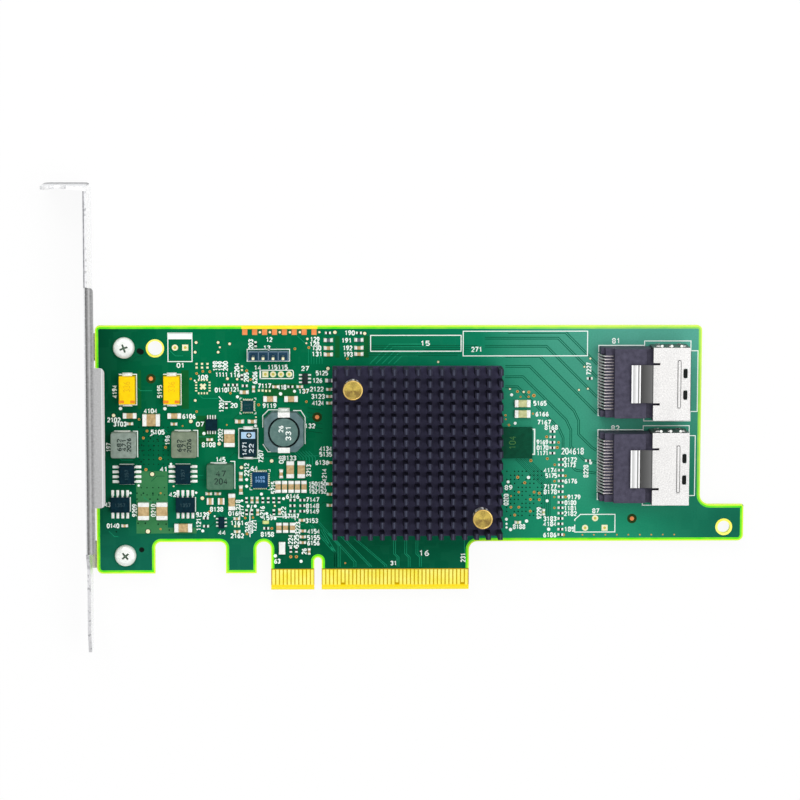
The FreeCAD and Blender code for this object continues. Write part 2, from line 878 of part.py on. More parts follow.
def cut_corner_block(x, y, size_x, size_y, cut, z0, z1):
    """An upright block whose four upright edges are cut at 45 degrees."""
    half_x = size_x / 2
    half_y = size_y / 2
    inner_x = half_x - cut
    inner_y = half_y - cut
    points = [(x - inner_x, y - half_y), (x + inner_x, y - half_y), (x + half_x, y - inner_y),
              (x + half_x, y + inner_y), (x + inner_x, y + half_y), (x - inner_x, y + half_y),
              (x - half_x, y + inner_y), (x - half_x, y - inner_y)]
    return prism(sharp(points), flat(z0), Vector(0, 0, z1 - z0))


def moulded_inductor(x, y, size_x, size_y, height):
    return cut_corner_block(x, y, size_x, size_y, inductor_edge_cut, 0, height)


def inductor_clips():
    """Terminal strips on the two ends of each moulded inductor."""
    clips = []
    for x, y, size_x, size_y, height in moulded_inductors.values():
        for side in (-1, 1):
            centre = y + side * (size_y + inductor_clip_thickness) / 2
            clips.append(centred_box(x, centre, inductor_clip_width, inductor_clip_thickness,
                                     0, inductor_clip_height))
    return Part.makeCompound(clips)


def drum_shield():
    """The square ferrite sleeve with cut corners and a round bore that holds the drum core."""
    x = drum_inductor_x
    y = drum_inductor_y
    side = drum_inductor_side
    block = cut_corner_block(x, y, side, side, drum_inductor_chamfer, 0, drum_inductor_height)
    return block.cut(disc(x, y, drum_bore_diameter, drum_floor, drum_inductor_height))


def drum_core():
    return disc(drum_inductor_x, drum_inductor_y, drum_core_diameter, drum_floor, drum_core_height)


def drum_clips():
    """The two tinned terminals folded over the ends of the drum inductor."""
    clips = []
    half = drum_inductor_side / 2
    top = drum_inductor_height + drum_clip_thickness
    for side in (-1, 1):
        x = drum_inductor_x
        wall = drum_inductor_y + side * half
        upright = centred_box(x, wall + side * drum_clip_thickness / 2, drum_clip_width,
                              drum_clip_thickness, 0, top)
        fold = centred_box(x, wall - side * drum_clip_reach / 2, drum_clip_width, drum_clip_reach,
                           drum_inductor_height, top)
        clips.append(upright.fuse(fold).removeSplitter())
    return Part.makeCompound(clips)


def tantalum_body(x, y, size_x, size_y, height):
    """A moulded body whose upper half tapers."""
    middle = height / 2
    lower = centred_box(x, y, size_x, size_y, tantalum_seat, middle)
    rings = []
    for z, inset in ((middle, 0), (height, tantalum_draft)):
        half_x = size_x / 2 - inset
        half_y = size_y / 2 - inset
        ring = [Vector(x - half_x, y - half_y, z), Vector(x + half_x, y - half_y, z),
                Vector(x + half_x, y + half_y, z), Vector(x - half_x, y + half_y, z)]
        rings.append(Part.makePolygon(ring + ring[:1]))
    return lower.fuse(Part.makeLoft(rings, True, True))


def tantalum_clips():
    """Folded terminals at both ends of each tantalum capacitor, tucked under the body."""
    clips = []
    thick = tantalum_clip_thickness
    for x, y, size_x, size_y, height in tantalums.values():
        for side in (-1, 1):
            wall = y + side * size_y / 2
            upright = centred_box(x, wall + side * thick / 2, tantalum_clip_width, thick, 0, height / 2)
            under = centred_box(x, wall - side * tantalum_clip_width / 4, tantalum_clip_width,
                                tantalum_clip_width / 2, 0, tantalum_seat)
            clips.append(upright.fuse(under).removeSplitter())
    return Part.makeCompound(clips)


def turn_about(shape, x, y, turned):
    if turned:
        shape.rotate(Vector(x, y, 0), Vector(0, 0, 1), 90)
    return shape


def chip_leads(x, y, body_span, lead_span, foot, width, pitch, count, body_height):
    """Leads that slope down from the two sides of a chip that face along X to flat feet."""
    level = body_seat + body_height / 2
    thick = lead_thickness
    leads = []
    for side in (-1, 1):
        inner = x + side * body_span / 2
        outer = x + side * lead_span / 2
        heel = outer - side * foot
        profile = sharp([(inner, level), (heel, thick), (outer, thick), (outer, 0),
                         (heel - side * thick, 0), (inner, level - thick)])
        for i in range(count):
            start = y + (i - (count - 1) / 2) * pitch - width / 2
            leads.append(prism(profile, across_y(start), Vector(0, width, 0)))
    return leads


def chip_body(x, y, span, length, height):
    return centred_box(x, y, span, length, body_seat, body_seat + height)


def transistor_leads():
    groups = []
    for x, y, turned in transistors.values():
        leads = chip_leads(x, y, so_body_span, so_lead_span, so_lead_foot, so_lead_width,
                           so_lead_pitch, so_lead_count, so_body_height)
        groups += [turn_about(lead, x, y, turned) for lead in leads]
    return Part.makeCompound(groups)


def small_chip_leads():
    regulator = chip_leads(regulator_x, regulator_y, regulator_side, regulator_lead_span,
                           regulator_lead_foot, regulator_lead_width, regulator_lead_pitch,
                           so_lead_count, regulator_height)
    leads = [turn_about(lead, regulator_x, regulator_y, True) for lead in regulator]
    leads += chip_leads(logic_x, logic_y, logic_span, logic_lead_span, logic_lead_foot,
                        logic_lead_width, logic_lead_pitch, logic_lead_count, logic_height)
    return Part.makeCompound(leads)


def header_base():
    length = header_pin_count * header_pitch
    body = centred_box(header_x, header_y, length, header_body_width, 0, header_body_height)
    side = header_pin_side
    cuts = [centred_box(x, header_y, side, side, 0, header_body_height) for x in header_pins]
    return body.cut(cuts)


def header_pin_row():
    side = header_pin_side
    bottom = -header_pin_bottom
    return Part.makeCompound([centred_box(x, header_y, side, side, bottom, header_pin_top)
                              for x in header_pins])


def two_terminal(x, y, length, width, height, share, turned):
    """A chip part: a body between two plated ends that wrap it a little proud."""
    end = length * share
    wrap = terminal_wrap
    body = centred_box(x, y, length - 2 * end, width, 0, height)
    ends = []
    for side in (-1, 1):
        centre = x + side * (length - end) / 2
        ends.append(centred_box(centre, y, end, width + 2 * wrap, 0, height + wrap))
    return turn_about(body, x, y, turned), [turn_about(one, x, y, turned) for one in ends]


def capacitor_group(group, share):
    bodies = []
    ends = []
    for x, y, length, width, height, turned in group:
        body, pair = two_terminal(x, y, length, width, height, share, turned)
        bodies.append(body)
        ends += pair
    return Part.makeCompound(bodies), Part.makeCompound(ends)


def status_lamp():
    base = centred_box(lamp_x, lamp_y, lamp_length, lamp_width, 0, lamp_base_height)
    lens = centred_box(lamp_x, lamp_y, lamp_length * lamp_lens_share, lamp_width,
                       lamp_base_height, lamp_base_height + lamp_lens_height)
    return base.fuse(lens)


def build():
    nodes = {}
    nodes["circuit_board"] = circuit_board()
    nodes["edge_contacts_front"] = edge_contacts(0, contact_thickness, True)
    nodes["edge_contacts_rear"] = edge_contacts(-board_thickness - contact_thickness,
                                                -board_thickness, False)
    nodes["top_edge_pads"] = top_edge_pads()
    nodes["mounting_bracket"] = mounting_bracket()
    nodes["bracket_screws"] = Part.makeCompound([bracket_screw(y) for y in screw_ys])
    nodes["controller_chip"] = centred_box(sink_x, sink_y, chip_side, chip_side, 0, chip_thickness)
    nodes["controller_lid"] = centred_box(sink_x, sink_y, lid_side, lid_side, chip_thickness, lid_top)
    nodes["thermal_pad"] = centred_box(sink_x, sink_y, pad_side, pad_side, lid_top, sink_bottom)
    nodes["heat_sink"] = heat_sink()
    nodes["push_pins"] = Part.makeCompound([push_pin(x, y) for x, y in push_pins])
    nodes["push_pin_springs"] = Part.makeCompound([coil_spring(x, y) for x, y in push_pins])
    for name, middle in sockets.items():
        nodes["sas_socket_" + name + "_shell"] = socket_shell(middle)
        nodes["sas_socket_" + name + "_housing"] = socket_housing(middle)
        nodes["sas_socket_" + name + "_contacts"] = socket_contacts(middle)
    for name, sizes in moulded_inductors.items():
        nodes[name] = moulded_inductor(*sizes)
    nodes["inductor_clips"] = inductor_clips()
    nodes["drum_inductor_shield"] = drum_shield()
    nodes["drum_inductor_core"] = drum_core()
    nodes["drum_inductor_clips"] = drum_clips()
    for name, sizes in tantalums.items():
        nodes[name] = tantalum_body(*sizes)
    nodes["tantalum_clips"] = tantalum_clips()
    for name, (x, y, turned) in transistors.items():
        body = chip_body(x, y, so_body_span, so_body_length, so_body_height)
        nodes[name] = turn_about(body, x, y, turned)
    nodes["transistor_leads"] = transistor_leads()
    nodes["regulator_chip"] = chip_body(regulator_x, regulator_y, regulator_side, regulator_side,
                                        regulator_height)
    nodes["logic_chip"] = chip_body(logic_x, logic_y, logic_span, logic_length, logic_height)
    nodes["small_chip_leads"] = small_chip_leads()
    for name, (x, y, width, length, height) in flat_chips.items():
        nodes[name] = centred_box(x, y, width, length, 0, height)
    nodes["header_base"] = header_base()
    nodes["header_pins"] = header_pin_row()
    large = capacitor_group(large_capacitors, large_terminal_share)
    small = capacitor_group(small_capacitors, small_terminal_share)
    nodes["large_capacitors"], nodes["large_capacitor_ends"] = large
    nodes["small_capacitors"], nodes["small_capacitor_ends"] = small
    fuse_body, fuse_ends = two_terminal(fuse_x, fuse_y, fuse_length, fuse_width, fuse_height,
                                        fuse_terminal_share, True)
    nodes["fuse"] = fuse_body
    nodes["fuse_ends"] = Part.makeCompound(fuse_ends)
    nodes["status_lamp"] = status_lamp()
    return nodes


os.makedirs("parts", exist_ok=True)
for node, shape in build().items():
    shape.exportStep("parts/" + node + ".step")
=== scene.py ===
import bpy
import math
from mathutils import Matrix, Vector
from mathutils.geometry import tessellate_polygon


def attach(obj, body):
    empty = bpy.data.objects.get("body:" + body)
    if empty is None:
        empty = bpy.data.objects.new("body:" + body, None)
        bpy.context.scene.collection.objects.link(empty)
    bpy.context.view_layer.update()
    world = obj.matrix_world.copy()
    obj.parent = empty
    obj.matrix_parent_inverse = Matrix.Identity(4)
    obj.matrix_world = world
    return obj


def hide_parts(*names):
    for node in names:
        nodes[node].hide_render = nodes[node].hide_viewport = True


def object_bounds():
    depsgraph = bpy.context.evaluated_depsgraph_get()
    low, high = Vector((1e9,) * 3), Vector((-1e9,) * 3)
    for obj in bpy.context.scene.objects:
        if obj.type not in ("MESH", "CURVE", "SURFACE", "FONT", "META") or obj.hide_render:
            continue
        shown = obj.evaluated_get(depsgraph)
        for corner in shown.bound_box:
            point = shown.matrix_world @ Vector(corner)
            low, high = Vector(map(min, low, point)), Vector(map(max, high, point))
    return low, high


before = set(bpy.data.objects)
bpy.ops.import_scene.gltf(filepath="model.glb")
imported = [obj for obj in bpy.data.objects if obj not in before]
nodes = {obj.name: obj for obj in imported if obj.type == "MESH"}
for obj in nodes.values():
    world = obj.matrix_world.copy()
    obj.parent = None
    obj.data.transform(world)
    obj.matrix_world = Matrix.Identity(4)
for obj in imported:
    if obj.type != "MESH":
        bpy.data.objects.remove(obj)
cad_low, cad_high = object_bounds()

# Sizes are millimetres in the frame of the part; meshes are scaled to metres as they are made
MM = 0.001
# The two faces of the board, and how far print, pads and traces stand out of them
FRONT = 0.0
REAR = -1.57
INK = 0.02
PAD = 0.014
LACQUER = 0.008
BOTH = (-1, 1)


def linear(colour):
    """An 8-bit colour as the shader's linear values."""
    values = [v / 255 for v in colour]
    return tuple(v / 12.92 if v <= 0.04045 else ((v + 0.055) / 1.055) ** 2.4 for v in values)


class Graph:
    """One node material whose pattern is fixed to places on the part."""

    def __init__(self, name):
        self.material = bpy.data.materials.new(name)
        self.material.use_nodes = True
        self.tree = self.material.node_tree
        self.shader = self.tree.nodes["Principled BSDF"]
        self.place = self.node("ShaderNodeTexCoord").outputs["Object"]

    def node(self, kind, **settings):
        made = self.tree.nodes.new(kind)
        for key, value in settings.items():
            setattr(made, key, value)
        return made

    def put(self, socket, value):
        if isinstance(value, bpy.types.NodeSocket):
            self.tree.links.new(value, socket)
        else:
            socket.default_value = value

    def split(self, vector):
        made = self.node("ShaderNodeSeparateXYZ")
        self.put(made.inputs[0], vector)
        return made.outputs["X"], made.outputs["Y"], made.outputs["Z"]

    def facing(self):
        """The three parts of the direction that the surface faces."""
        return self.split(self.node("ShaderNodeNewGeometry").outputs["Normal"])

    def noise(self, scale, detail=4.0):
        made = self.node("ShaderNodeTexNoise")
        made.inputs["Scale"].default_value = scale
        made.inputs["Detail"].default_value = detail
        self.put(made.inputs["Vector"], self.place)
        return made.outputs["Fac"]

    def spread(self, value, low=0.0, high=1.0, start=0.3, end=0.7):
        made = self.node("ShaderNodeMapRange")
        self.put(made.inputs["Value"], value)
        made.inputs["From Min"].default_value = start
        made.inputs["From Max"].default_value = end
        made.inputs["To Min"].default_value = low
        made.inputs["To Max"].default_value = high
        return made.outputs["Result"]

    def ramp(self, value, start, end, low=0.0, high=1.0):
        """Runs from low to high between two places in millimetres."""
        return self.spread(value, low, high, start * MM, end * MM)

    def math(self, operation, first, second=0.0):
        made = self.node("ShaderNodeMath", operation=operation)
        self.put(made.inputs[0], first)
        self.put(made.inputs[1], second)
        return made.outputs[0]

    def times(self, first, second):
        return self.math("MULTIPLY", first, second)

    def over(self, value, limit):
        return self.math("GREATER_THAN", value, limit)

    def under(self, value, limit):
        return self.math("LESS_THAN", value, limit)

    def within(self, value, middle, reach):
        """One where a place lies within a reach of the middle, both in millimetres."""
        return self.under(self.math("ABSOLUTE", self.math("SUBTRACT", value, middle * MM)), reach * MM)

    def mix(self, share, first, second):
        made = self.node("ShaderNodeMix", data_type="RGBA")
        self.put(made.inputs["Factor"], share)
        for socket, value in ((made.inputs[6], first), (made.inputs[7], second)):
            self.put(socket, value if isinstance(value, bpy.types.NodeSocket) else (*linear(value), 1))
        return made.outputs[2]

    def layers(self, colour, *coats):
        """Lays further colours over a first one, each by its own share."""
        for share, coat in coats:
            colour = self.mix(share, colour, coat)
        return colour

    def greys(self, value, stops):
        """Grey levels along a value; the stops hold the place and the level of each."""
        made = self.node("ShaderNodeValToRGB")
        self.put(made.inputs[0], value)
        for place, level in stops[2:]:
            made.color_ramp.elements.new(place)
        for element, (place, level) in zip(made.color_ramp.elements, stops):
            element.position = place
            element.color = (*linear((level, level, level)), 1)
        return made.outputs[0]

    def close(self, colour, roughness, height, strength, distance, metal=0.0, specular=0.5):
        """Wires the shader up and hands over the material."""
        shader = self.shader.inputs
        self.put(shader["Base Color"], colour)
        self.put(shader["Roughness"], roughness)
        self.put(shader["Metallic"], metal)
        shader["Specular IOR Level"].default_value = specular
        bump = self.node("ShaderNodeBump")
        bump.inputs["Strength"].default_value = strength
        bump.inputs["Distance"].default_value = distance * MM
        self.put(bump.inputs["Height"], height)
        self.put(shader["Normal"], bump.outputs["Normal"])
        return self.material


def finish(name, dark, light, rough=(0.4, 0.55), metal=0.0, grain=900.0, fine=9000.0, bump=0.25, depth=0.02,
           specular=0.22):
    """A material that drifts between two colours, with its own roughness and a fine grain."""
    graph = Graph(name)
    speck = graph.noise(fine, 3.0)
    total = graph.math("ADD", graph.times(graph.noise(grain, 5.0), 0.6), graph.times(speck, 0.4))
    colour = graph.mix(graph.spread(total), dark, light)
    return graph.close(colour, graph.spread(speck, *rough), total, bump, depth, metal, specular)


def mask_finish():
    """Green lacquer over laminate, with a painted sheen towards the upper right: yellow where the laminate is
    cut or bare at the gold edge.
    """
    graph = Graph("solder_mask")
    x, y = graph.split(graph.place)[:2]
    weave = graph.noise(2600.0, 3.0)
    cells = graph.node("ShaderNodeTexVoronoi", distance="CHEBYCHEV", feature="F1")
    cells.inputs["Scale"].default_value = 300.0
    graph.put(cells.inputs["Vector"], graph.place)
    pattern = graph.over(cells.outputs["Distance"], 0.47)
    # The upper right is painted lighter as the sheen of the lacquer; the tail beyond it is taken back darker.
    upper_right_sheen = graph.times(graph.ramp(y, 18, 64), graph.ramp(x, 42, 78))
    tail = graph.math("MAXIMUM", graph.math("SUBTRACT", graph.ramp(x, 80, 104), upper_right_sheen), 0.0)
    tabs = graph.times(graph.ramp(y, 8, 24, 1.0, 0.0), graph.ramp(x, -14, -6, 1.0, 0.0))
    tongue = graph.times(graph.ramp(y, 12, 18, 1.0, 0.0), graph.within(x, 14.5, 26.5))
    # The lacquer lightens from left to right, partly its own tone and partly painted sheen, and most at the
    # upper right, which is painted sheen.
    lacquer = graph.layers(
        graph.mix(graph.ramp(x, -58, -33), (0, 66, 42), (0, 110, 70)),
        (graph.ramp(x, 4, 40), (12, 126, 92)),
        (graph.ramp(x, 40, 68), (34, 146, 110)),
        (upper_right_sheen, (92, 174, 155)),
        (tail, (20, 104, 80)),
        (tabs, (20, 104, 82)),
        (graph.times(tongue, 0.8), (0, 80, 52)),
        (graph.spread(graph.noise(26.0, 3.0), 0.0, 0.22, 0.4, 0.7), (0, 92, 58)),
        (graph.spread(weave, 0.0, 0.14), (0, 52, 38)),
        (graph.times(pattern, 0.035), (60, 160, 120)))
    upright = graph.under(graph.math("ABSOLUTE", graph.facing()[2]), 0.97)
    laminate = graph.mix(graph.spread(weave), (232, 250, 90), (248, 255, 150))
    between_contacts = graph.mix(graph.ramp(y, 1.2, 1.5), (255, 222, 30), (198, 158, 0))
    at_contacts = graph.times(graph.within(x, 13.5, 25.67), graph.under(y, 5.5 * MM))
    colour = graph.mix(at_contacts, graph.mix(upright, lacquer, laminate),
                       graph.mix(upright, between_contacts, (255, 236, 62)))
    height = graph.math("ADD", weave, graph.times(pattern, 0.5))
    return graph.close(colour, graph.spread(weave, 0.26, 0.36), height, 0.10, 0.02, specular=0.02)


def gold_finish():
    """Gold plate, deeper in colour on the bevelled foot of the contacts."""
    graph = Graph("gold_plate")
    y = graph.split(graph.place)[1]
    speck = graph.noise(6000.0, 3.0)
    plain = graph.mix(graph.spread(graph.noise(300.0, 4.0)), (250, 236, 66), (255, 250, 126))
    colour = graph.mix(graph.ramp(y, 1.2, 1.5, 1.0, 0.0), plain, (255, 222, 30))
    return graph.close(colour, graph.spread(speck, 0.28, 0.42), speck, 0.15, 0.01, 0.12, 0.2)


def rim_finish(name, near, far):
    """Bare laminate along the board edge, painted bright as the glow of light through the edge, and paler
    towards the sockets.
    """
    graph = Graph(name)
    x, y = graph.split(graph.place)[:2]
    speck = graph.noise(2600.0, 3.0)
    colour = graph.mix(graph.times(graph.ramp(x, 20, 75), graph.ramp(y, 20, 34)), near, far)
    colour = graph.mix(graph.spread(graph.noise(300.0, 3.0), 0.0, 0.25), colour, (236, 255, 90))
    return graph.close(colour, graph.spread(speck, 0.45, 0.6), speck, 0.2, 0.02, specular=0.1)


def ceramic_finish():
    """Tan ceramic, paler and greener in the parts beyond the heat sink."""
    graph = Graph("capacitor_tan")
    x = graph.split(graph.place)[0]
    speck = graph.noise(1500.0, 4.0)
    tan = graph.mix(graph.spread(speck), (172, 142, 98), (210, 184, 136))
    pale = graph.mix(graph.spread(speck), (182, 186, 130), (220, 220, 164))
    colour = graph.mix(graph.over(x, 45 * MM), tan, pale)
    return graph.close(colour, graph.spread(speck, 0.4, 0.6), speck, 0.25, 0.02, specular=0.12)


def glint_fan_finish(name, places, waves, dark, light, metal):
    """Metal painted lighter and darker in waves that fan round each of some centres: the sheen and glints of
    turned and coiled metal painted into its colour.
    """
    graph = Graph(name)
    x, y = graph.split(graph.place)[:2]
    speck = graph.noise(2600.0, 4.0)
    total = graph.times(speck, 2.0)
    for middle_x, middle_y in places:
        dx = graph.math("SUBTRACT", x, middle_x * MM)
        dy = graph.math("SUBTRACT", y, middle_y * MM)
        far = graph.math("ADD", graph.math("ABSOLUTE", dx), graph.math("ABSOLUTE", dy))
        near = graph.under(far, 8 * MM)
        angle = graph.math("ARCTAN2", dy, dx)
        for count in waves:
            wave = graph.math("SINE", graph.times(angle, count))
            total = graph.math("ADD", total, graph.times(graph.times(wave, near), 0.4))
    colour = graph.mix(graph.spread(total, 0.0, 1.0, 0.4, 1.7), dark, light)
    return graph.close(colour, graph.spread(speck, 0.30, 0.46), speck, 0.25, 0.01, metal)


def circle(x, y, radius, count):
    turns = [2 * math.pi * i / count for i in range(count)]
    return [(x + radius * math.cos(angle), y + radius * math.sin(angle)) for angle in turns]


def rectangle(x, y, size_x, size_y, turn=0.0):
    c = math.cos(math.radians(turn))
    s = math.sin(math.radians(turn))
    corners = frame_path(-size_x / 2, -size_y / 2, size_x / 2, size_y / 2)
    return [(x + u * c - v * s, y + u * s + v * c) for u, v in corners]


def frame_path(x0, y0, x1, y1):
    return [(x0, y0), (x1, y0), (x1, y1), (x0, y1)]


def level(outline, z):
    """An outline laid at a height."""
    return [(x, y, z) for x, y in outline]


def offsets(path, distance, closed):
    """The path moved to its left by a distance, with mitred corners."""
    count = len(path)
    moved = []
    for i, (x, y) in enumerate(path):
        normals = []
        for a, b in ((i - 1, i), (i, i + 1)):
            if not closed and (a < 0 or b >= count):
                continue
            dx = path[b % count][0] - path[a % count][0]
            dy = path[b % count][1] - path[a % count][1]
            length = math.hypot(dx, dy)
            normals.append((-dy / length, dx / length))
        nx = sum(n[0] for n in normals) / len(normals)
        ny = sum(n[1] for n in normals) / len(normals)
        scale = distance / max(nx * nx + ny * ny, 0.3)
        moved.append((x + nx * scale, y + ny * scale))
    return moved


def rounded(corners, steps=6):
    """The points of a closed outline of corners (x, y, radius)."""
    points = []
    count = len(corners)
    for i, (x, y, radius) in enumerate(corners):
        if radius == 0:
            points.append((x, y))
            continue
        ends = []
        for other in (corners[i - 1], corners[(i + 1) % count]):
            length = math.hypot(other[0] - x, other[1] - y)
            ends.append(((other[0] - x) / length, (other[1] - y) / length))
        (ax, ay), (bx, by) = ends
        half = math.acos(ax * bx + ay * by) / 2
        reach = radius / math.sin(half)
        size = math.hypot(ax + bx, ay + by)
        cx = x + (ax + bx) / size * reach
        cy = y + (ay + by) / size * reach
        run = radius / math.tan(half)
        first = math.atan2(y + ay * run - cy, x + ax * run - cx)
        turn = math.atan2(y + by * run - cy, x + bx * run - cx) - first
        turn = (turn + math.pi) % (2 * math.pi) - math.pi
        for k in range(steps + 1):
            angle = first + turn * k / steps
            points.append((cx + radius * math.cos(angle), cy + radius * math.sin(angle)))
    return points


def soft_box(x, y, half_x, half_y, radius, steps):
    """A rectangle about a place with rounded corners."""
    box = frame_path(x - half_x, y - half_y, x + half_x, y + half_y)
    return rounded([(u, v, radius) for u, v in box], steps)


def cover(loops):
    """Triangles that face up over an outline and its holes, as places in the joined loops."""
    flat = [p for loop in loops for p in loop]
    triangles = []
    for a, b, c in tessellate_polygon([[Vector((u, v, 0)) for u, v in loop] for loop in loops]):
        (ax, ay), (bx, by), (cx, cy) = flat[a], flat[b], flat[c]
        up = (bx - ax) * (cy - ay) - (by - ay) * (cx - ax) > 0
        triangles.append([a, b, c] if up else [a, c, b])
    return triangles


class Shape:
    """Faces in millimetres, gathered for one piece."""

    def __init__(self):
        self.points = []
        self.faces = []
        self.slots = []

    def add(self, points, faces, slot=0):
        start = len(self.points)
        self.points.extend(points)
        for face in faces:
            self.faces.append([start + i for i in face])
            self.slots.append(slot)

    def loft(self, rings, slot=0, bottom=False, top=True):
        """Skins closed rings of equal count, from the lowest up, and closes its ends."""
        count = len(rings[0])
        faces = []
        for k in range(len(rings) - 1):
            for i in range(count):
                j = (i + 1) % count
                faces.append([k * count + i, k * count + j, (k + 1) * count + j, (k + 1) * count + i])
        last = (len(rings) - 1) * count
        if top:
            faces.append([last + i for i in range(count)])
        if bottom:
            faces.append([i for i in reversed(range(count))])
        self.add([p for ring in rings for p in ring], faces, slot)

    def slab(self, outline, low, high, slot=0):
        """A plate on an anticlockwise outline, closed below where it hangs on the rear face."""
        self.loft([level(outline, low), level(outline, high)], slot, bottom=low < REAR)

    def pierced(self, outline, holes, low, high, slot=0):
        """A plate with round holes, each an outline of its own."""
        loops = [outline] + [hole[::-1] for hole in holes]
        flat = [p for loop in loops for p in loop]
        total = len(flat)
        faces = []
        for a, b, c in cover(loops):
            faces.append([total + a, total + b, total + c])
            faces.append([a, c, b])
        start = 0
        for loop in loops:
            for i in range(len(loop)):
                j = (i + 1) % len(loop)
                faces.append([start + i, start + j, total + start + j, total + start + i])
            start += len(loop)
        self.add(level(flat, low) + level(flat, high), faces, slot)

    def plate(self, x, y, size_x, size_y, low, high, slot=0, turn=0.0):
        self.slab(rectangle(x, y, size_x, size_y, turn), low, high, slot)

    def disc(self, x, y, diameter, low, high, slot=0, count=20):
        self.slab(circle(x, y, diameter / 2, count), low, high, slot)

    def ring(self, x, y, inner, outer, low, high, slot=0, count=32):
        """A flat ring between two diameters."""
        points = []
        for z, diameter in ((low, inner), (high, inner), (high, outer), (low, outer)):
            points += level(circle(x, y, diameter / 2, count), z)
        faces = []
        for k in range(4):
            for i in range(count):
                j = (i + 1) % count
                m = (k + 1) % 4
                faces.append([k * count + i, m * count + i, m * count + j, k * count + j])
        self.add(points, faces, slot)

    def line(self, path, width, low, high, slot=0, closed=False):
        """A printed line of constant width with mitred corners."""
        sides = offsets(path, width / 2, closed) + offsets(path, -width / 2, closed)
        count = len(path)
        top = 2 * count
        faces = []
        for i in range(count if closed else count - 1):
            j = (i + 1) % count
            faces.append([top + count + i, top + count + j, top + j, top + i])
            faces.append([i, top + i, top + j, j])
            faces.append([count + j, top + count + j, top + count + i, count + i])
            if low < REAR:
                faces.append([i, j, count + j, count + i])
        self.add(level(sides, low) + level(sides, high), faces, slot)

    def block(self, x, y, size_x, size_y, low, high, edge, slot=0, turn=0.0):
        """An upright block whose top edges are rounded off by two small steps."""
        rings = []
        for inset, z in ((0.0, low), (0.0, high - edge), (edge * 0.3, high - edge * 0.3), (edge, high)):
            rings.append(level(rectangle(x, y, size_x - 2 * inset, size_y - 2 * inset, turn), z))
        self.loft(rings, slot, bottom=low < REAR)

    def lathe(self, x, y, profile, slot=0, count=48, bottom=False, top=True):
        """A turned form from a profile of radius and height."""
        self.loft([level(circle(x, y, radius, count), z) for radius, z in profile], slot, bottom, top)

    def tube(self, path, radius, slot=0, count=8):
        """A round bar along a path of points."""
        rings = []
        for i, point in enumerate(path):
            before = Vector(path[max(i - 1, 0)])
            after = Vector(path[min(i + 1, len(path) - 1)])
            along = (after - before).normalized()
            side = along.cross(Vector((0, 0, 1))).normalized()
            up = side.cross(along)
            ring = []
            for k in range(count):
                angle = 2 * math.pi * k / count
                spot = Vector(point) + side * radius * math.cos(angle) + up * radius * math.sin(angle)
                ring.append(tuple(spot))
            rings.append(ring)
        self.loft(rings[::-1], slot, bottom=True)

    def build(self, name, finishes, slot, stands_for=()):
        mesh = bpy.data.meshes.new(name)
        mesh.from_pydata([(x * MM, y * MM, z * MM) for x, y, z in self.points], [], self.faces)
        for used in finishes:
            mesh.materials.append(used)
        mesh.polygons.foreach_set("material_index", self.slots)
        mesh.shade_smooth()
        mesh.set_sharp_from_angle(angle=math.radians(38))
        mesh.update()
        made = bpy.data.objects.new(name, mesh)
        bpy.context.scene.collection.objects.link(made)
        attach(made, "root")
        if stands_for:
            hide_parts(*stands_for)


# Digits as pen strokes in a cell 0.6 wide and 1 high
DIGITS = (
    [(0, 0.2), (0, 0.8), (0.2, 1), (0.4, 1), (0.6, 0.8), (0.6, 0.2), (0.4, 0), (0.2, 0), (0, 0.2)],
    [(0.1, 0.75), (0.35, 1), (0.35, 0)],
    [(0, 0.8), (0.2, 1), (0.4, 1), (0.6, 0.8), (0.6, 0.6), (0, 0), (0.6, 0)],
    [(0, 0.85), (0.2, 1), (0.4, 1), (0.6, 0.8), (0.35, 0.53), (0.6, 0.25), (0.4, 0), (0.2, 0), (0, 0.15)],
    [(0.45, 0), (0.45, 1), (0, 0.3), (0.62, 0.3)],
    [(0.58, 1), (0.05, 1), (0, 0.58), (0.4, 0.62), (0.6, 0.4), (0.6, 0.2), (0.4, 0), (0, 0.05)],
    [(0.5, 1), (0.15, 0.75), (0, 0.35), (0.15, 0), (0.45, 0), (0.6, 0.25), (0.45, 0.52), (0.08, 0.45)],
    [(0, 1), (0.6, 1), (0.2, 0)],
    [(0.15, 0.53), (0, 0.77), (0.15, 1), (0.45, 1), (0.6, 0.77), (0.45, 0.53), (0.15, 0.53), (0, 0.25),
     (0.15, 0), (0.45, 0), (0.6, 0.25), (0.45, 0.53)],
    [(0.1, 0), (0.45, 0.25), (0.6, 0.65), (0.45, 1), (0.15, 1), (0, 0.75), (0.15, 0.48), (0.52, 0.55)],
)


def write_number(shape, text, x, y, width, height, pen, low, high, turned=False, slot=0):
    """Digits centred on a place; turned ones read upwards."""
    step = width / max(len(text) - 0.35, 0.65)
    for k, digit in enumerate(text):
        path = []
        for u, v in DIGITS[int(digit)]:
            a = k * step + u * step * 1.08 - width / 2
            b = (v - 0.5) * height
            path.append((x - b, y + a) if turned else (x + a, y + b))
        shape.line(path, pen, low, high, slot)


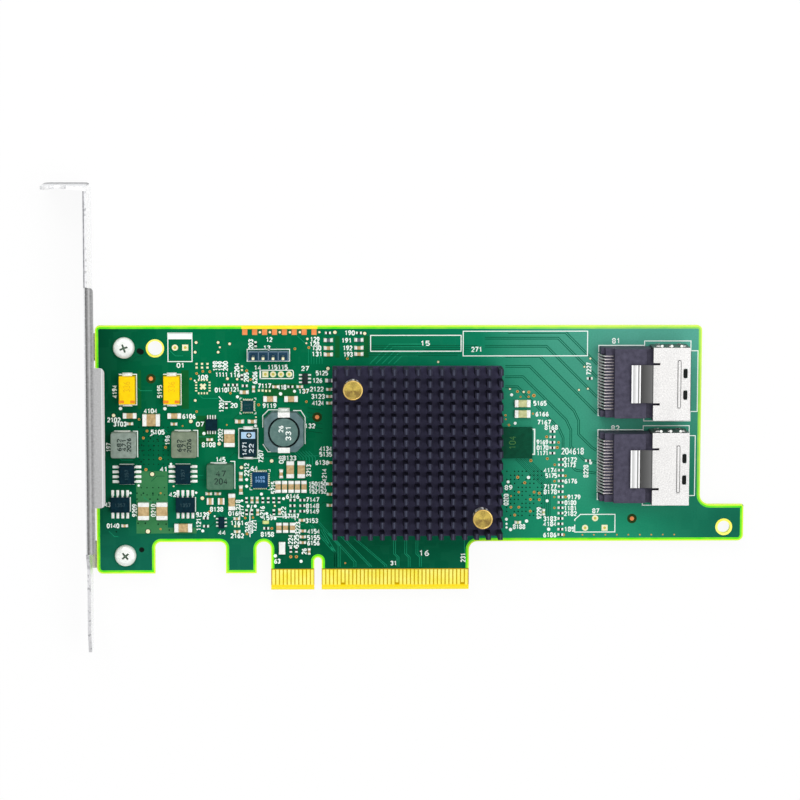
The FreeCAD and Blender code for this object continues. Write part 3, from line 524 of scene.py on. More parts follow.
# Places of the printed numbers: centre and width
NUMBERS_ALONG_X = (
    (-35.25, 58.65, 1.8), (-52.5, 44.55, 3.2), (-50.95, 43.45, 3.2), (-43.05, 46.85, 3.2),
    (-41.25, 41.35, 3.3), (-33.2, 45.45, 3.2), (-30.35, 43.4, 1.8), (-28.15, 38.05, 3.3),
    (-29.6, 55.55, 2.5), (-24.9, 52.25, 3), (-24.75, 56.25, 3), (-12.5, 65.3, 1.4), (-13.1, 63.15, 1.6),
    (-15.5, 58.05, 1.6), (-10.35, 58.15, 5), (-21.3, 56.15, 2.5), (-13.75, 53.3, 3.2), (-9.25, 52.95, 2),
    (-12.45, 48.15, 3.3), (-21.6, 48.25, 1.6), (-21.8, 52.4, 3), (-0.3, 52.45, 3.3), (0.05, 50.55, 3.3),
    (0.05, 48.85, 2.8), (1.05, 56.6, 2.9), (-0.1, 54.7, 2.3), (-3.3, 57.8, 1.8), (-0.85, 64.1, 2.3),
    (-0.75, 65.35, 2.2), (-0.3, 63.1, 2.1), (-0.2, 61.55, 2.5), (-2.05, 42.9, 2.5), (-7.35, 34.55, 3.3),
    (2, 36.95, 3), (2, 35.5, 3), (1.05, 33.35, 3.2), (-3.65, 51.9, 2.5), (-26.2, 21.2, 3.2),
    (-29.8, 19.8, 3.2), (-52.95, 16.95, 3), (-39.75, 31.7, 1.7), (-37.5, 25.1, 1.7), (-54.25, 22.5, 1.2),
    (-24.85, 15.1, 1.7), (-25.1, 34.2, 2.3), (-6.55, 24.55, 3.2), (-1.4, 23.65, 3.2), (-1.4, 22, 3.2),
    (-1.4, 20.55, 3.2), (-0.1, 27.75, 4.4), (-0.1, 26.8, 4.4), (-0.1, 25.85, 4.4), (-1.6, 18.15, 3),
    (-1.15, 15.35, 3), (-1.15, 13.7, 3.1), (-1.2, 12.3, 3), (-7.15, 19.35, 4.3), (-13.1, 14.6, 3.2),
    (-12.95, 18.9, 2.5), (-21.45, 20.1, 3.2), (-20.9, 17.6, 3.2), (-20.9, 14.25, 3.2), (-10.55, 7.55, 1.4),
    (-16.45, 31.85, 1.6), (57.35, 48.7, 3.2), (57.9, 45.9, 3.2), (58.45, 43.75, 3.3),
    (60.3, 42.4, 3.2), (58.05, 38.55, 2.8), (58.1, 37.1, 2.8), (58.1, 35.7, 2.8),
    (65.3, 33.95, 3.2), (65.2, 32.6, 2.8), (60.15, 31.2, 3.2), (60.4, 29.8, 2.8), (65.5, 28.35, 3.1),
    (60.15, 26.9, 3.2), (60.2, 25.55, 3.2), (66.35, 24.15, 3.2), (65.45, 22.7, 2.8), (65.45, 21.25, 3.1),
    (65.45, 19.85, 3.1), (60.15, 18.5, 3.2), (60.15, 17.15, 3.2), (65.25, 15.75, 2.5), (60.15, 14.25, 3.2),
    (72.05, 20.55, 1.6), (52.15, 16.45, 3), (49.35, 26.7, 1.8), (8.2, 67, 2.4), (7.4, 65.05, 2.4),
    (7.65, 63.1, 2.2), (7.8, 61.45, 2.2),
)
NUMBERS_ALONG_Y = (
    (-52.2, 51.9, 3.1), (-40.65, 51.9, 3.1), (-38.75, 39.25, 2.3), (-53.9, 37.4, 2.1), (-26.35, 58.45, 2.3),
    (-25, 58.45, 2.3), (-23.75, 58.45, 2.3), (-24.8, 48.15, 3.1), (-25.1, 40.5, 3.1), (-17.2, 64.1, 2.4),
    (-20.8, 58, 2.3), (-18.4, 55.55, 2.3), (-16.2, 55.45, 3), (-14.7, 35, 3.1), (-9.45, 34.1, 1.8),
    (-47.35, 20.95, 3.1), (-42.5, 20.95, 3.1), (-30.85, 17.65, 3.9), (-18.4, 31.5, 3.2), (-2.4, 31.25, 3),
    (1.65, 30.05, 3.2), (-11.5, 26.85, 3), (-14.4, 20.4, 3), (-19.75, 20.65, 3), (-20.65, 22.3, 2.5),
    (-18.25, 16.45, 2.5), (-17.45, 16.45, 3), (-16.5, 16.9, 3), (-8.9, 20.85, 1.8), (-5.25, 16.2, 3.1),
    (-7.1, 12.8, 3.2), (-5.6, 12.8, 3.2), (-3.6, 10.1, 1.4), (69.9, 57.65, 3), (69.4, 30.95, 3.1),
    (57.35, 20, 2.9), (48.75, 23.55, 2.8), (37.65, 8.35, 2.2),
)
# Round pads and dots: centre and diameter
TEST_PADS = (
    (-31.25, 64.55, 0.75), (-31.5, 62.05, 0.75), (-25.6, 64.55, 0.7), (-25.15, 63.3, 0.5),
    (-25.6, 62.05, 0.7), (-52.55, 45.7, 0.9), (-32.7, 44.15, 1), (-25.45, 38.3, 0.95), (-31.55, 49.55, 0.7),
    (-14.85, 67.2, 0.65), (-12.3, 67.2, 0.65), (-9.75, 67.2, 0.65), (-7.15, 67.2, 0.65), (-4.6, 67.2, 0.65),
    (0.4, 67.2, 0.6), (4.4, 67.15, 0.9), (-22.65, 64.2, 0.7), (-2.7, 65.45, 0.65), (-2.95, 64.35, 0.5),
    (2.6, 57.8, 0.9), (-23.25, 55.2, 0.75), (-20.75, 55.05, 0.65), (-11.95, 33.8, 0.95),
    (-15.95, 45.2, 0.45), (-42.75, 30.4, 1.05), (-29.85, 24.1, 0.95), (-43.95, 15.45, 1.1),
    (-37.25, 27.25, 0.45), (-19.75, 32.1, 0.9), (-11.15, 22.05, 0.55), (53.1, 51.65, 0.6),
    (49.55, 52.4, 0.5), (68.75, 58.15, 0.5), (70.25, 60.3, 0.55), (67.4, 52.15, 0.55), (69.7, 52.45, 0.55),
    (54.7, 41.4, 0.45), (12.05, 66.85, 0.85), (31, 59.45, 0.55),
)
VIAS = (
    (-31.15, 56.55, 0.65), (-29.55, 57.1, 0.65), (-27.75, 57, 0.7), (-32.65, 55.15, 0.55),
    (-31.2, 46.65, 0.65), (-46, 44.65, 0.65), (-44, 41.65, 0.7), (-44.95, 39.85, 0.7), (-39.25, 37.4, 0.7),
    (-40.65, 34.5, 0.8), (-34.85, 42.95, 0.45), (-5.9, 62.9, 0.7), (-2.3, 63.2, 0.7), (-18.3, 57.25, 0.7),
    (-17.3, 54.95, 0.65), (-22.5, 51.45, 0.65), (-15.25, 48.4, 0.75), (7.6, 60.35, 0.65),
    (-10.65, 53.05, 0.6), (-3.35, 51.95, 0.7), (-2.95, 49.2, 0.65), (-23.45, 43.2, 0.45),
    (-44.35, 31.6, 0.75), (-40.6, 25.45, 0.5), (-40.7, 16.05, 0.55), (-28, 20.45, 0.85),
    (-18.8, 18.9, 0.65), (-16.8, 19, 0.6), (-18.35, 14.75, 0.7), (-11.95, 16.15, 0.7), (-7.05, 8.7, 0.8),
    (-5.6, 8.7, 0.8), (7.05, 7, 0.5), (51.5, 51.75, 0.7), (54.45, 51.6, 0.75), (52.3, 50.4, 0.5),
    (54.4, 50.4, 0.6), (55.75, 50.7, 0.9), (48.45, 45.6, 0.6), (48.55, 44.55, 0.45), (49.35, 43.05, 0.65),
    (55.55, 46, 0.55), (55.1, 33.75, 0.8), (59.35, 34.25, 0.7), (59.15, 39.95, 0.75), (62.25, 38.5, 0.65),
    (61.9, 37.15, 0.8), (61.3, 32.65, 0.65), (64.1, 29.75, 0.65), (61.3, 28.35, 0.65), (61.25, 24.2, 0.55),
    (64.15, 24.2, 0.7), (61.3, 21.35, 0.6), (63.75, 14.25, 0.7), (51.7, 29.4, 0.8), (53.55, 27.95, 0.75),
    (57.35, 25.2, 0.75), (55.05, 23.6, 0.7), (57.35, 23.5, 0.7), (50, 21.55, 0.7), (52.05, 21.55, 0.7),
    (55.05, 20.5, 0.7), (51, 19.5, 0.7), (52, 25.5, 0.6), (56, 25.5, 0.7), (50, 24.45, 0.5),
)
PRINTED_DOTS = (
    (-31.65, 54.7, 0.5), (-50.75, 47.5, 0.9), (-39.35, 47.45, 0.9), (-29.35, 41, 0.85), (-9.6, 51.25, 0.9),
    (-20.7, 50.5, 0.8), (-6, 51.9, 0.8), (-16.05, 42.95, 0.8), (-46.25, 27.45, 0.65), (-37.9, 33.05, 0.65),
    (-48.35, 25.5, 0.65), (-31.45, 25.55, 0.65), (-26.7, 19.4, 0.5), (-29.8, 15.55, 0.8),
    (-18.4, 28.95, 0.8), (-18.4, 27.2, 0.8), (-14.6, 25.15, 0.8), (-19.65, 23.45, 0.65), (-18.05, 22, 0.8),
    (-16.2, 22, 0.8), (-8.9, 23.95, 0.8), (-13.25, 20.05, 0.8), (-11.1, 18.75, 0.75), (-11.05, 8.95, 0.9),
    (-4.4, 7.5, 0.85), (50, 50.9, 0.8), (50.95, 43.5, 0.8), (54.5, 29.35, 0.85), (49.25, 28.2, 0.8),
    (59.4, 23.2, 0.8), (54.1, 17.9, 0.9), (48.85, 18.4, 0.8), (48.9, 17.2, 0.6), (48.9, 16.25, 0.6),
    (49.95, 15.7, 0.9), (59.85, 15.75, 0.9), (48.85, 24, 0.8), (70.6, 33.1, 0.8),
)
# Small filled vias: centre
FILLED_VIAS = (
    (-43.1, 39.7), (-41.4, 39.5), (-45.4, 38), (-45.3, 36.5), (-43.15, 36.8), (-42.2, 37.85),
    (-45.05, 25.45), (-42.6, 25.45), (-46.7, 25.45), (-46.7, 23.9), (-43.35, 23.9), (-41.4, 23.85),
    (-46.5, 17.6), (-44.6, 17.6), (-41.3, 17.35), (-39.25, 17.35), (-52.1, 15.4), (-43.6, 34.25),
    (-45.55, 33.65), (-38.45, 15.8),
)
# Parts of 1.0 by 0.5: centre
RESISTORS_ALONG_X = (
    (2.6, 67), (-23.5, 53.55), (-21.3, 53.55), (-18.8, 53.35), (-7.05, 53.1), (-6.6, 23.55), (-4.05, 23.55),
    (-6.6, 22.1), (-4.05, 22.1), (-6.6, 20.65), (-4.05, 20.65), (-13.4, 16.2), (-29, 18.9), (-28.95, 16.8),
    (10.55, 67), (70.15, 55.15), (69.9, 33.7),
)
RESISTORS_ALONG_Y = (
    (-19.5, 55.6), (-23.55, 48.15), (-16, 64.1), (-18.45, 23.6), (-14.25, 23.55), (-12.85, 23.55),
    (-11.45, 23.55), (-10.05, 23.55), (-17.1, 20.45), (-18.45, 20.45), (-11.4, 20.4), (-7.05, 10.55),
    (-5.6, 10.55),
)
CAPACITORS_ALONG_X = (
    (-48.4, 43.55), (-37.05, 43.45), (-27.9, 39.4), (-10.9, 53.1), (-4.65, 53.1), (-49.95, 16.95),
    (-4.15, 18.3), (-3.95, 15.5), (-3.95, 13.95), (-3.95, 12.45), (-21, 18.75), (-20.9, 15.35),
    (51.8, 17.6), (-28.2, 25.3), (-25.9, 25.3), (3.0, 52.4), (3.0, 50.55), (3.0, 48.85), (3.3, 33.35),
    (3.1, 27.8), (3.1, 25.1), (3.1, 22.2),
)
CAPACITORS_ALONG_Y = (
    (-16.55, 52.5), (-17.05, 23.6), (-15.7, 23.6), (-15.6, 20.4), (-9.95, 20.55), (-2.3, 10.1),
    (58.5, 20.25),
)
# Parts of 1.6 by 0.8: centre
PARTS_ALONG_X = (
    (-18.95, 51.7), (-20.2, 44.1), (-16.9, 44.1), (2.7, 63.1), (2.7, 61.45), (10.55, 63.15), (10.55, 61.55),
)
PARTS_ALONG_Y = (
    (-19.9, 29.75), (-19.9, 26.25), (-9.5, 30.45),
)
BEADS = (
    (2.7, 65.15), (10.55, 65.2), (3.05, 54.7),
)
# Bare pad pairs: centre
PADS_ALONG_Y = (
    (-31.15, 58.55), (-29.75, 58.55), (-28.35, 58.55), (-19.5, 57.9),
)
PADS_ALONG_X = (
    (-14.7, 52.1), (-12.85, 52), (-20.95, 16.75),
)
# Columns of 0402 resistors beside the memory chip: x, first y, pitch, count
RESISTOR_COLUMNS = ((60.62, 41.35, 1.41, 5), (62.88, 34.05, 1.407, 15))
# Outline of the board: corners and their radii
BOARD = [(-12.15, 0, 0), (-0.95, 0, 0), (-0.95, 8.5, 0.93), (0.95, 8.5, 0.93), (0.95, 0, 0), (39.15, 0, 0),
         (39.15, 12.65, 2.2), (110.5, 12.65, 1.5), (110.5, 22.15, 0.7), (99.1, 22.15, 2.6),
         (99.1, 68.9, 1.2), (-57.15, 68.9, 1.2), (-57.15, 4.4, 1.5), (-42.1, 4.4, 0), (-42.1, 12.65, 1.5),
         (-23.85, 12.65, 1.5), (-23.85, 4.4, 0), (-15.9, 4.4, 0), (-15.9, 12.65, 1.83),
         (-12.15, 12.65, 1.83)]
# Top of the gold contacts and both ends of their tongue
CONTACT_TOP = 5.6
TONGUE = (-12.2, 39.2)
# Holes with their bores, and the middles of the larger parts
TOOLING_HOLE = (-41.80, 63.05, 3.80)
TAIL_HOLE = (105.45, 16.25, 3.20)
LOCATING_HOLE = (-45.60, 62.25)
SCREWS = ((-49.75, 63.20), (-49.75, 9.20))
PUSH_PINS = ((8.84, 53.51), (42.06, 20.29))
SOCKET_MIDDLES = (54.60, 32.65)
TANTALUMS = ((-48.95, 52.40), (-37.55, 52.40))
BLACK_TANTALUM = (-17.95, 38.55)
TRANSISTORS_UPRIGHT = ((-49.25, 30.40), (-34.80, 30.45))
TRANSISTORS_LYING = ((-51.05, 22.55), (-34.25, 22.50))
DRIVER_CHIP = (-14.95, 28.90)
CLOCK_CHIP = (-18.00, 48.10)
EMPTY_PLACE = (-29.56, 53.15)
SIX_LEAD_CHIP = (-3.3, 55.2)
HEADER = (-12.70, 61.25)
HEADER_PITCH = 2.54


def plated(name, dark, light, grain=900, rough=(0.35, 0.5)):
    """A thin even layer on the board."""
    return finish(name, dark, light, rough, grain=grain, bump=0.2, depth=0.01)


def covered(name, dark, light, grain=400, fine=4000, bump=0.1):
    """Copper under the lacquer."""
    return finish(name, dark, light, (0.28, 0.4), grain=grain, fine=fine, bump=bump, specular=0.04)


def pressed_powder(name, dark, light, specular=0.22):
    """The coarse coat of a moulded inductor."""
    return finish(name, dark, light, (0.5, 0.68), 0.0, 900, 7000, 0.5, 0.04, specular)


white_ink = plated("white_ink", (236, 250, 242), (252, 255, 252), 500, (0.55, 0.7))
cream_tin = plated("cream_tin", (226, 222, 176), (250, 246, 208), 700)
amber_gold = plated("amber_gold", (186, 128, 50), (226, 166, 82))
filled_eye = plated("filled_eye", (176, 170, 60), (214, 206, 96))
bare_copper = plated("bare_copper", (222, 118, 60), (250, 160, 96), 700)
dark_via = finish("dark_via", (0, 30, 20), (4, 50, 34), (0.4, 0.5), specular=0.05)
gold_plate = gold_finish()
olive_mask = covered("olive_mask", (48, 116, 68), (66, 132, 84), 300, 3000, 0.15)
trace_mask = covered("trace_mask", (10, 132, 92), (32, 156, 116))
solder = finish("solder", (222, 226, 220), (255, 255, 252), (0.24, 0.42), metal=0.2, grain=1200, fine=5000,
                bump=0.4, depth=0.03)
capacitor_tan = ceramic_finish()


def board_bare_rim():
    """Bare laminate along the board's edge but for the gold contacts, painted with the glow of the lit edge,
    and plating at the top left.
    """
    edge = Shape()
    outline = []
    corners = rounded(BOARD)
    for i, (x, y) in enumerate(corners):
        u, v = corners[(i + 1) % len(corners)]
        outline.append((x, y))
        if x == u and TONGUE[0] < x < TONGUE[1] and (y - CONTACT_TOP) * (v - CONTACT_TOP) < 0:
            outline.append((x, CONTACT_TOP))
    edge_width, rim_width, thick = 0.36, 0.84, 0.012
    lines = [outline, offsets(outline, edge_width, True), offsets(outline, rim_width, True)]
    for k in range(2):
        outer_line, inner_line = lines[k], lines[k + 1]
        for i in range(len(outline)):
            j = (i + 1) % len(outline)
            (x0, y0), (x1, y1) = outline[i], outline[j]
            if max(y0, y1) > CONTACT_TOP or min(x0, x1) < TONGUE[0] or max(x0, x1) > TONGUE[1]:
                edge.slab([outer_line[i], outer_line[j], inner_line[j], inner_line[i]], FRONT, thick, 1 - k)
    edge.plate(-9.85, 68.45, 19.5, 0.86, FRONT, 0.03, 2)
    # The two bands of the rim are bare laminate, painted bright lime and yellow as the glow of light through
    # the board's edge.
    edge.build("board_bare_rim", [
        rim_finish("laminate_edge_glow", (66, 228, 14), (140, 222, 92)),
        rim_finish("laminate_rim_glow", (206, 250, 56), (214, 250, 100)),
        finish("plated_edge", (246, 226, 0), (255, 244, 60), (0.4, 0.55), grain=500)], "solder_mask")


def silk_screen():
    """White print: outlines of the parts, dots and generic numbers."""
    pen, thin = 0.23, 0.14
    digit_width, digit_height = 0.76, 1.04
    ink = Shape()

    def boxed(*places, width=pen):
        for x0, y0, x1, y1 in places:
            ink.line(frame_path(x0, y0, x1, y1), width, FRONT, INK, closed=True)

    def drawn(*paths, width=pen):
        for path in paths:
            ink.line(path, width, FRONT, INK)

    def bar(x, y, size_x, size_y):
        ink.plate(x, y, size_x, size_y, FRONT, INK)

    boxed((-38.48, 59.63, -32.30, 67.00), width=0.22)
    bar(-35.39, 66.20, 6.0, 1.6)
    drawn([(-14.98, 57.36), (-6.60, 57.36), (-6.31, 57.05), (-6.31, 55.50), (-6.60, 55.20), (-14.98, 55.20)])
    bar(-14.80, 56.28, 0.42, 2.3)
    drawn([(66.64, 16.9), (66.64, 14.99), (77.08, 14.99), (77.08, 19.62), (68.1, 19.62), (66.64, 18.3),
           (66.64, 17.9)])
    boxed((13.58, 62.24, 36.87, 66.35), (37.41, 61.02, 69.51, 67.41), (84.25, 44.05, 96.25, 64.85),
          (96.25, 46.5, 98.1, 62.3), (84.15, 22.0, 96.1, 42.8), (96.1, 24.5, 97.7, 40.2))
    for middle in SOCKET_MIDDLES:
        for side in BOTH:
            drawn([(84.2, middle + side * 9.12), (72.4, middle + side * 9.12), (72.4, middle + side * 7.4)])
    boxed((-18.15, 59.72, -7.25, 62.78))
    for x, y in TANTALUMS:
        drawn([(x - 2.2, 56.35), (x + 2.38, 56.35), (x + 2.38, 48.45), (x - 2.2, 48.45)])
    drawn([(-20.4, 42.3), (-20.4, 34.5), (-15.5, 34.5), (-15.5, 42.3), (-20.4, 42.3)],
          [(-14.2, 42.5), (-14.2, 45.6), (-12.7, 47.1), (-7.6, 47.1)],
          [(-6.4, 46.9), (-4.4, 46.9), (-3.3, 45.2), (-3.3, 38.2)],
          [(-14.2, 38.2), (-12.9, 36.2), (-8.0, 36.2)])
    for x, low, high in ((-46.45, 34.8, 41.6), (-30.95, 34.9, 41.8), (-21.45, 26.6, 33.7)):
        drawn([(x - 1.2, high), (x, high), (x, low)])
    for x, y in TRANSISTORS_UPRIGHT:
        for side in BOTH:
            drawn([(x - 1.9, y + side * 2.62), (x + 1.9, y + side * 2.62)], width=thin)
    for x, y in TRANSISTORS_LYING:
        drawn([(x + 2.62, y - 1.9), (x + 2.62, y + 1.9)])
    for (x, y), half, arm in ((DRIVER_CHIP, 2.62, 0.6), (CLOCK_CHIP, 2.05, 0.5)):
        for sx in BOTH:
            for sy in BOTH:
                drawn([(x + sx * (half - arm), y + sy * half), (x + sx * half, y + sy * half),
                       (x + sx * half, y + sy * (half - arm))], width=thin)
    drawn([(54.9, 41.9), (56.0, 41.9), (56.0, 35.4), (55.2, 35.4)], width=0.36)
    drawn([(-17.6, 13.9), (-17.6, 20.2), (-17.05, 22.3)],
          [(-12.3, 19.9), (-12.3, 19.2), (-5.9, 19.2), (-5.9, 18.3)],
          [(-25.5, 50.6), (-24.3, 49.2), (-22.4, 49.2)], [(-43.2, 40.4), (-41.6, 41.3)])
    for x, y, diameter in PRINTED_DOTS:
        ink.disc(x, y, diameter, FRONT, INK, count=12)
    label = 101
    for places, turned in ((NUMBERS_ALONG_X, False), (NUMBERS_ALONG_Y, True)):
        for x, y, width in places:
            digits = max(1, round(width / digit_width))
            text = (str(label) * 2)[-digits:]
            write_number(ink, text, x, y, width, digit_height, 0.27, FRONT, INK, turned)
            label += 1
    for text, x, y, width, height in (
            ("81", 76.9, 64.9, 1.9, 1.2), ("82", 76.9, 42.2, 1.9, 1.2), ("204618", 65.9, 36.2, 5.6, 1.5),
            ("15", 27.6, 64.3, 2.2, 1.1), ("271", 40.9, 62.7, 2.6, 1.1), ("31", 19.6, 6.95, 1.5, 0.95),
            ("16", 27.5, 9.6, 2.4, 1.3)):
        write_number(ink, text, x, y, width, height, 0.26, FRONT, INK)
    ink.build("silk_screen", [white_ink], "ceramic_white")


def chip_pads(pads, place, half, count, pitch):
    """Four rows of pads round a chip without leads."""
    x, y = place
    for i in range(count):
        step = (i - (count - 1) / 2) * pitch
        for side in BOTH:
            pads.plate(x + side * half, y + step, 0.52, pitch * 0.5, FRONT, PAD, 0)
            pads.plate(x + step, y + side * half, pitch * 0.5, 0.52, FRONT, PAD, 0)


def copper_pads():
    """Pads, vias and plated rings on both faces, and black discs painted as the shade in the mouths of the
    locating holes.
    """
    cream, amber, gold, dark, copper, eye, hole, well = range(8)
    pads = Shape()
    for x, y, diameter in TEST_PADS:
        pads.ring(x, y, diameter * 0.86, diameter * 1.35, FRONT, PAD * 0.6, dark, 16)
        pads.disc(x, y, diameter, FRONT, PAD, cream, 16)
    for x, y, diameter in VIAS:
        pads.disc(x, y, diameter, FRONT, PAD, amber, 12)
        pads.disc(x, y, diameter * 0.40, FRONT, PAD * 1.5, dark, 8)
    for x, y in FILLED_VIAS:
        pads.disc(x, y, 0.42, FRONT, PAD, dark, 10)
    for x, y in ((-42.90, 55.23), (-0.18, 45.19), (81.49, 18.50)):
        pads.ring(x, y, 1.1, 2.5, FRONT, PAD, well, 24)
        pads.disc(x, y, 1.1, FRONT, PAD, copper, 20)
    for (x, y, bore), width in ((TOOLING_HOLE, 0.45), (TAIL_HOLE, 0.60)):
        pads.ring(x, y, bore, bore + 2 * width, FRONT, PAD, gold, 48)
        pads.ring(x, y, bore, bore + 2 * width, REAR - PAD, REAR, gold, 48)
    for x, y in SCREWS:
        pads.ring(x, y, 3.6, 5.3, FRONT, PAD, gold, 40)
    for x, y, square in (
            (-36.68, 63.24, False), (-34.04, 63.24, True), (-13.51, 56.31, True), (-11.51, 56.31, False),
            (-9.48, 56.31, False), (-7.39, 56.31, False), (71.91, 18.61, False), (69.33, 16.09, False),
            (74.41, 16.08, True)):
        for low, high in ((FRONT, PAD), (REAR - PAD, REAR)):
            if square:
                pads.plate(x, y, 1.55, 1.55, low, high, cream)
            else:
                pads.disc(x, y, 1.6, low, high, cream, 20)
            pads.disc(x, y, 0.75, low - PAD * 0.5, high + PAD * 0.5, eye, 14)
    # Painted shade: black discs in the mouths of the locating holes.
    x, y = LOCATING_HOLE
    for shift in (-0.22, 0.0, 0.22):
        pads.disc(x + shift, y - shift * 0.5, 1.45, FRONT, PAD + shift * 0.01, hole, 24)
    pads.disc(-45.60, 10.65, 1.35, FRONT, PAD, hole, 24)
    for x, y in PADS_ALONG_Y:
        for side in BOTH:
            pads.plate(x, y + side * 0.48, 0.55, 0.5, FRONT, PAD, cream)
    for x, y in PADS_ALONG_X:
        for side in BOTH:
            pads.plate(x + side * 0.48, y, 0.5, 0.55, FRONT, PAD, cream)
    chip_pads(pads, EMPTY_PLACE, 1.72, 4, 0.72)
    chip_pads(pads, CLOCK_CHIP, 1.62, 5, 0.56)
    chip_pads(pads, DRIVER_CHIP, 2.25, 7, 0.52)
    x, y = EMPTY_PLACE
    for sx, sy in ((-1, -1), (-1, 1), (1, -1), (1, 1), (0, 0)):
        pads.plate(x + sx * 0.42, y + sy * 0.42, 0.62, 0.62, FRONT, PAD * (1.2 if sx else 1.4), cream, 45)
    for k in range(9):
        pads.disc(68.65 + k * 2.99, 14.25, 0.42, FRONT, PAD, amber, 10)
    pads.build("copper_pads", [
        cream_tin, amber_gold, gold_plate, dark_via, bare_copper, filled_eye,
        finish("hole_shade_black", (0, 10, 8), (6, 26, 18), (0.6, 0.8), specular=0.1),
        finish("well_olive", (26, 50, 18), (46, 70, 28), (0.5, 0.6), specular=0.05)], "gold")


def on_board(x, y):
    """Whether a place lies on bare lacquer away from the edges, screws and locating holes."""
    clear = ((*SCREWS[0], 3.0), (*SCREWS[1], 5.0), (*TOOLING_HOLE[:2], 2.6), (*LOCATING_HOLE, 1.4))
    inside = -56.4 < x < 98.4 and 13.6 < y < 68.1
    return inside and all(math.hypot(x - u, y - v) >= reach for u, v, reach in clear)


class Traces(Shape):
    """Copper lines, fields and filled vias that show through the lacquer."""

    lighter, darker, field, spots, corner, faint = range(6)

    def trace(self, *path, width=0.16, slot=lighter):
        if all(on_board(x, y) or (-12 < x < 39 and 5.4 < y < 14) for x, y in path):
            self.line(path, width, FRONT, LACQUER + 0.001 * slot, slot)

    def pair(self, *path, width=0.19, gap=0.46):
        """Two traces side by side along a path."""
        for side in BOTH:
            self.line(offsets(path, side * gap / 2, False), width, FRONT, LACQUER, self.corner)

    def spot(self, x, y, diameter):
        self.disc(x, y, diameter, FRONT, LACQUER * 1.6, self.spots, 8)

    def wide_fields(self):
        """Wide copper areas that show lighter through the lacquer."""
        for x0, y0, x1, y1, slot in (
                (-46.9, 14.9, -38.8, 31.2, self.field), (-38.8, 14.9, -31.4, 16.4, self.field),
                (-46.3, 47.4, -45.4, 57.4, self.faint), (-35.1, 47.4, -33.2, 57.4, self.faint),
                (4.4, 60.6, 5.6, 66.2, self.faint), (11.9, 60.6, 13.1, 66.2, self.faint),
                (-13.9, 50.2, -5.6, 53.9, self.faint), (-31.2, 38.2, -26.4, 45.6, self.faint),
                (-19.9, 36.2, -15.9, 40.9, self.faint)):
            self.plate((x0 + x1) / 2, (y0 + y1) / 2, x1 - x0, y1 - y0, FRONT, LACQUER * 0.5, slot)

    def socket_pairs(self):
        """The signal pairs from the chip to both sockets."""
        pads_x = 72.1
        for start, high, bend in (
                (49.0, 67.1, 63.8), (43.0, 65.6, 61.9), (43.0, 63.5, 58.9), (48.3, 60.9, 57.2)):
            self.pair((start, high), (bend, high), (pads_x, high - pads_x + bend))
        for high, bend, turn, low in (
                (58.3, 54.6, 66.2, 36.4), (55.6, 52.9, 64.2, 33.2), (53.0, 51.5, 62.2, 30.4)):
            drop = high - turn + bend
            self.pair((48.3, high), (bend, high), (turn, drop), (turn + 1.2, drop - 2.6),
                      (turn + 1.2, low + 4.2), (turn + 4.6, low + 0.8), (pads_x, low))
        for k in range(4):
            across = 58.4 + k * 0.55
            self.pair((51.2 + k * 1.05, 34.2), (across, 27.0 + k * 0.5), (across, 18.6), gap=0.34, width=0.12)

    def edge_traces(self):
        """Traces between the chip and the gold contacts, and along the top edge."""
        for x0, y0, x1, y1 in (
                (-2.1, 17.0, 4.3, 9.6), (-0.8, 18.5, 5.2, 11.6), (0.7, 15.8, 4.3, 9.5), (2.6, 14.9, 9.3, 7.3),
                (5.9, 14.0, 13.3, 6.2), (9.3, 13.4, 17.3, 6.4)):
            for shift in (0.0, 0.55):
                self.trace((x0 + shift, y0), (x1 + shift, y1), (x1 + shift, 6.0), width=0.15)
        for x in (19.6, 22.5, 25.4, 38.0):
            for shift in (0.0, 0.5):
                near, far = x + shift, x + shift + 0.9
                self.trace((near, 13.9), (near, 9.4), (far, 8.5), (far, 6.0))
        for k in range(5):
            top = 64.1 - 0.75 * k
            self.trace((13.4 + 1.55 * k, 59.0), (18.5 + 0.8 * k, top), (29.0 - 0.8 * k, top), width=0.22)
        for k in range(6):
            self.trace((12.4, 61.2 + k * 0.5), (36.0 + k, 61.2 + k * 0.5), slot=self.darker, width=0.14)

    def field_traces(self):
        """Fan-out under the corner of the chip, nested lines by the drum inductor, and loose lines."""
        for k in range(10):
            for m in range(12):
                x, y = 48.9 + k * 1.0, 19.4 + m * 1.05
                if (k * 7 + m * 3) % 5:
                    self.spot(x, y, 0.40)
                    if (k + m) % 2:
                        self.trace((x, y), (x + 0.5, y + 0.5), (x + 0.5, y + 1.0), width=0.13)
        for k in range(6):
            step = 0.8 * k
            self.trace((-6.4 + step, 36.4), (-4.6 + step, 34.6), (-4.6 + step, 32.6))
            self.trace((-2.6, 47.6 - 1.2 * k), (1.2, 47.0 - 1.2 * k), slot=self.darker, width=0.14)
            first, last, down = -5.2 + 0.7 * k, -2.4 + 0.7 * k, 0.6 * k
            self.trace((first, 66.2 - down), (last, 63.4 - down), (last, 59.0), width=0.12)
        for k in range(46):
            x = -54.0 + (k * 31 % 55)
            y = 15.5 + (k * 19 % 49)
            rise = 1.4 if k % 2 else -1.4
            self.trace((x, y), (x + 1.4, y + rise), (x + 2.4 + k % 5, y + rise), slot=k % 2, width=0.13)
        for x, y, step_x, step_y, columns, rows in (
                (-46.1, 33.0, 1.25, 1.2, 7, 9), (-45.6, 19.3, 1.5, 1.9, 5, 5)):
            for k in range(columns):
                for m in range(rows):
                    self.spot(x + k * step_x, y + m * step_y, 0.34)


def lacquered_traces():
    """All that shows through the lacquer."""
    traces = Traces()
    traces.wide_fields()
    traces.socket_pairs()
    traces.edge_traces()
    traces.field_traces()
    traces.build("lacquered_traces", [
        trace_mask, covered("shadow_mask", (0, 66, 42), (2, 84, 54)), olive_mask, dark_via,
        covered("shade_mask", (0, 80, 54), (10, 98, 72)),
        covered("olive_faint", (6, 86, 40), (18, 100, 48), 300, 3000, 0.15)], "solder_mask")


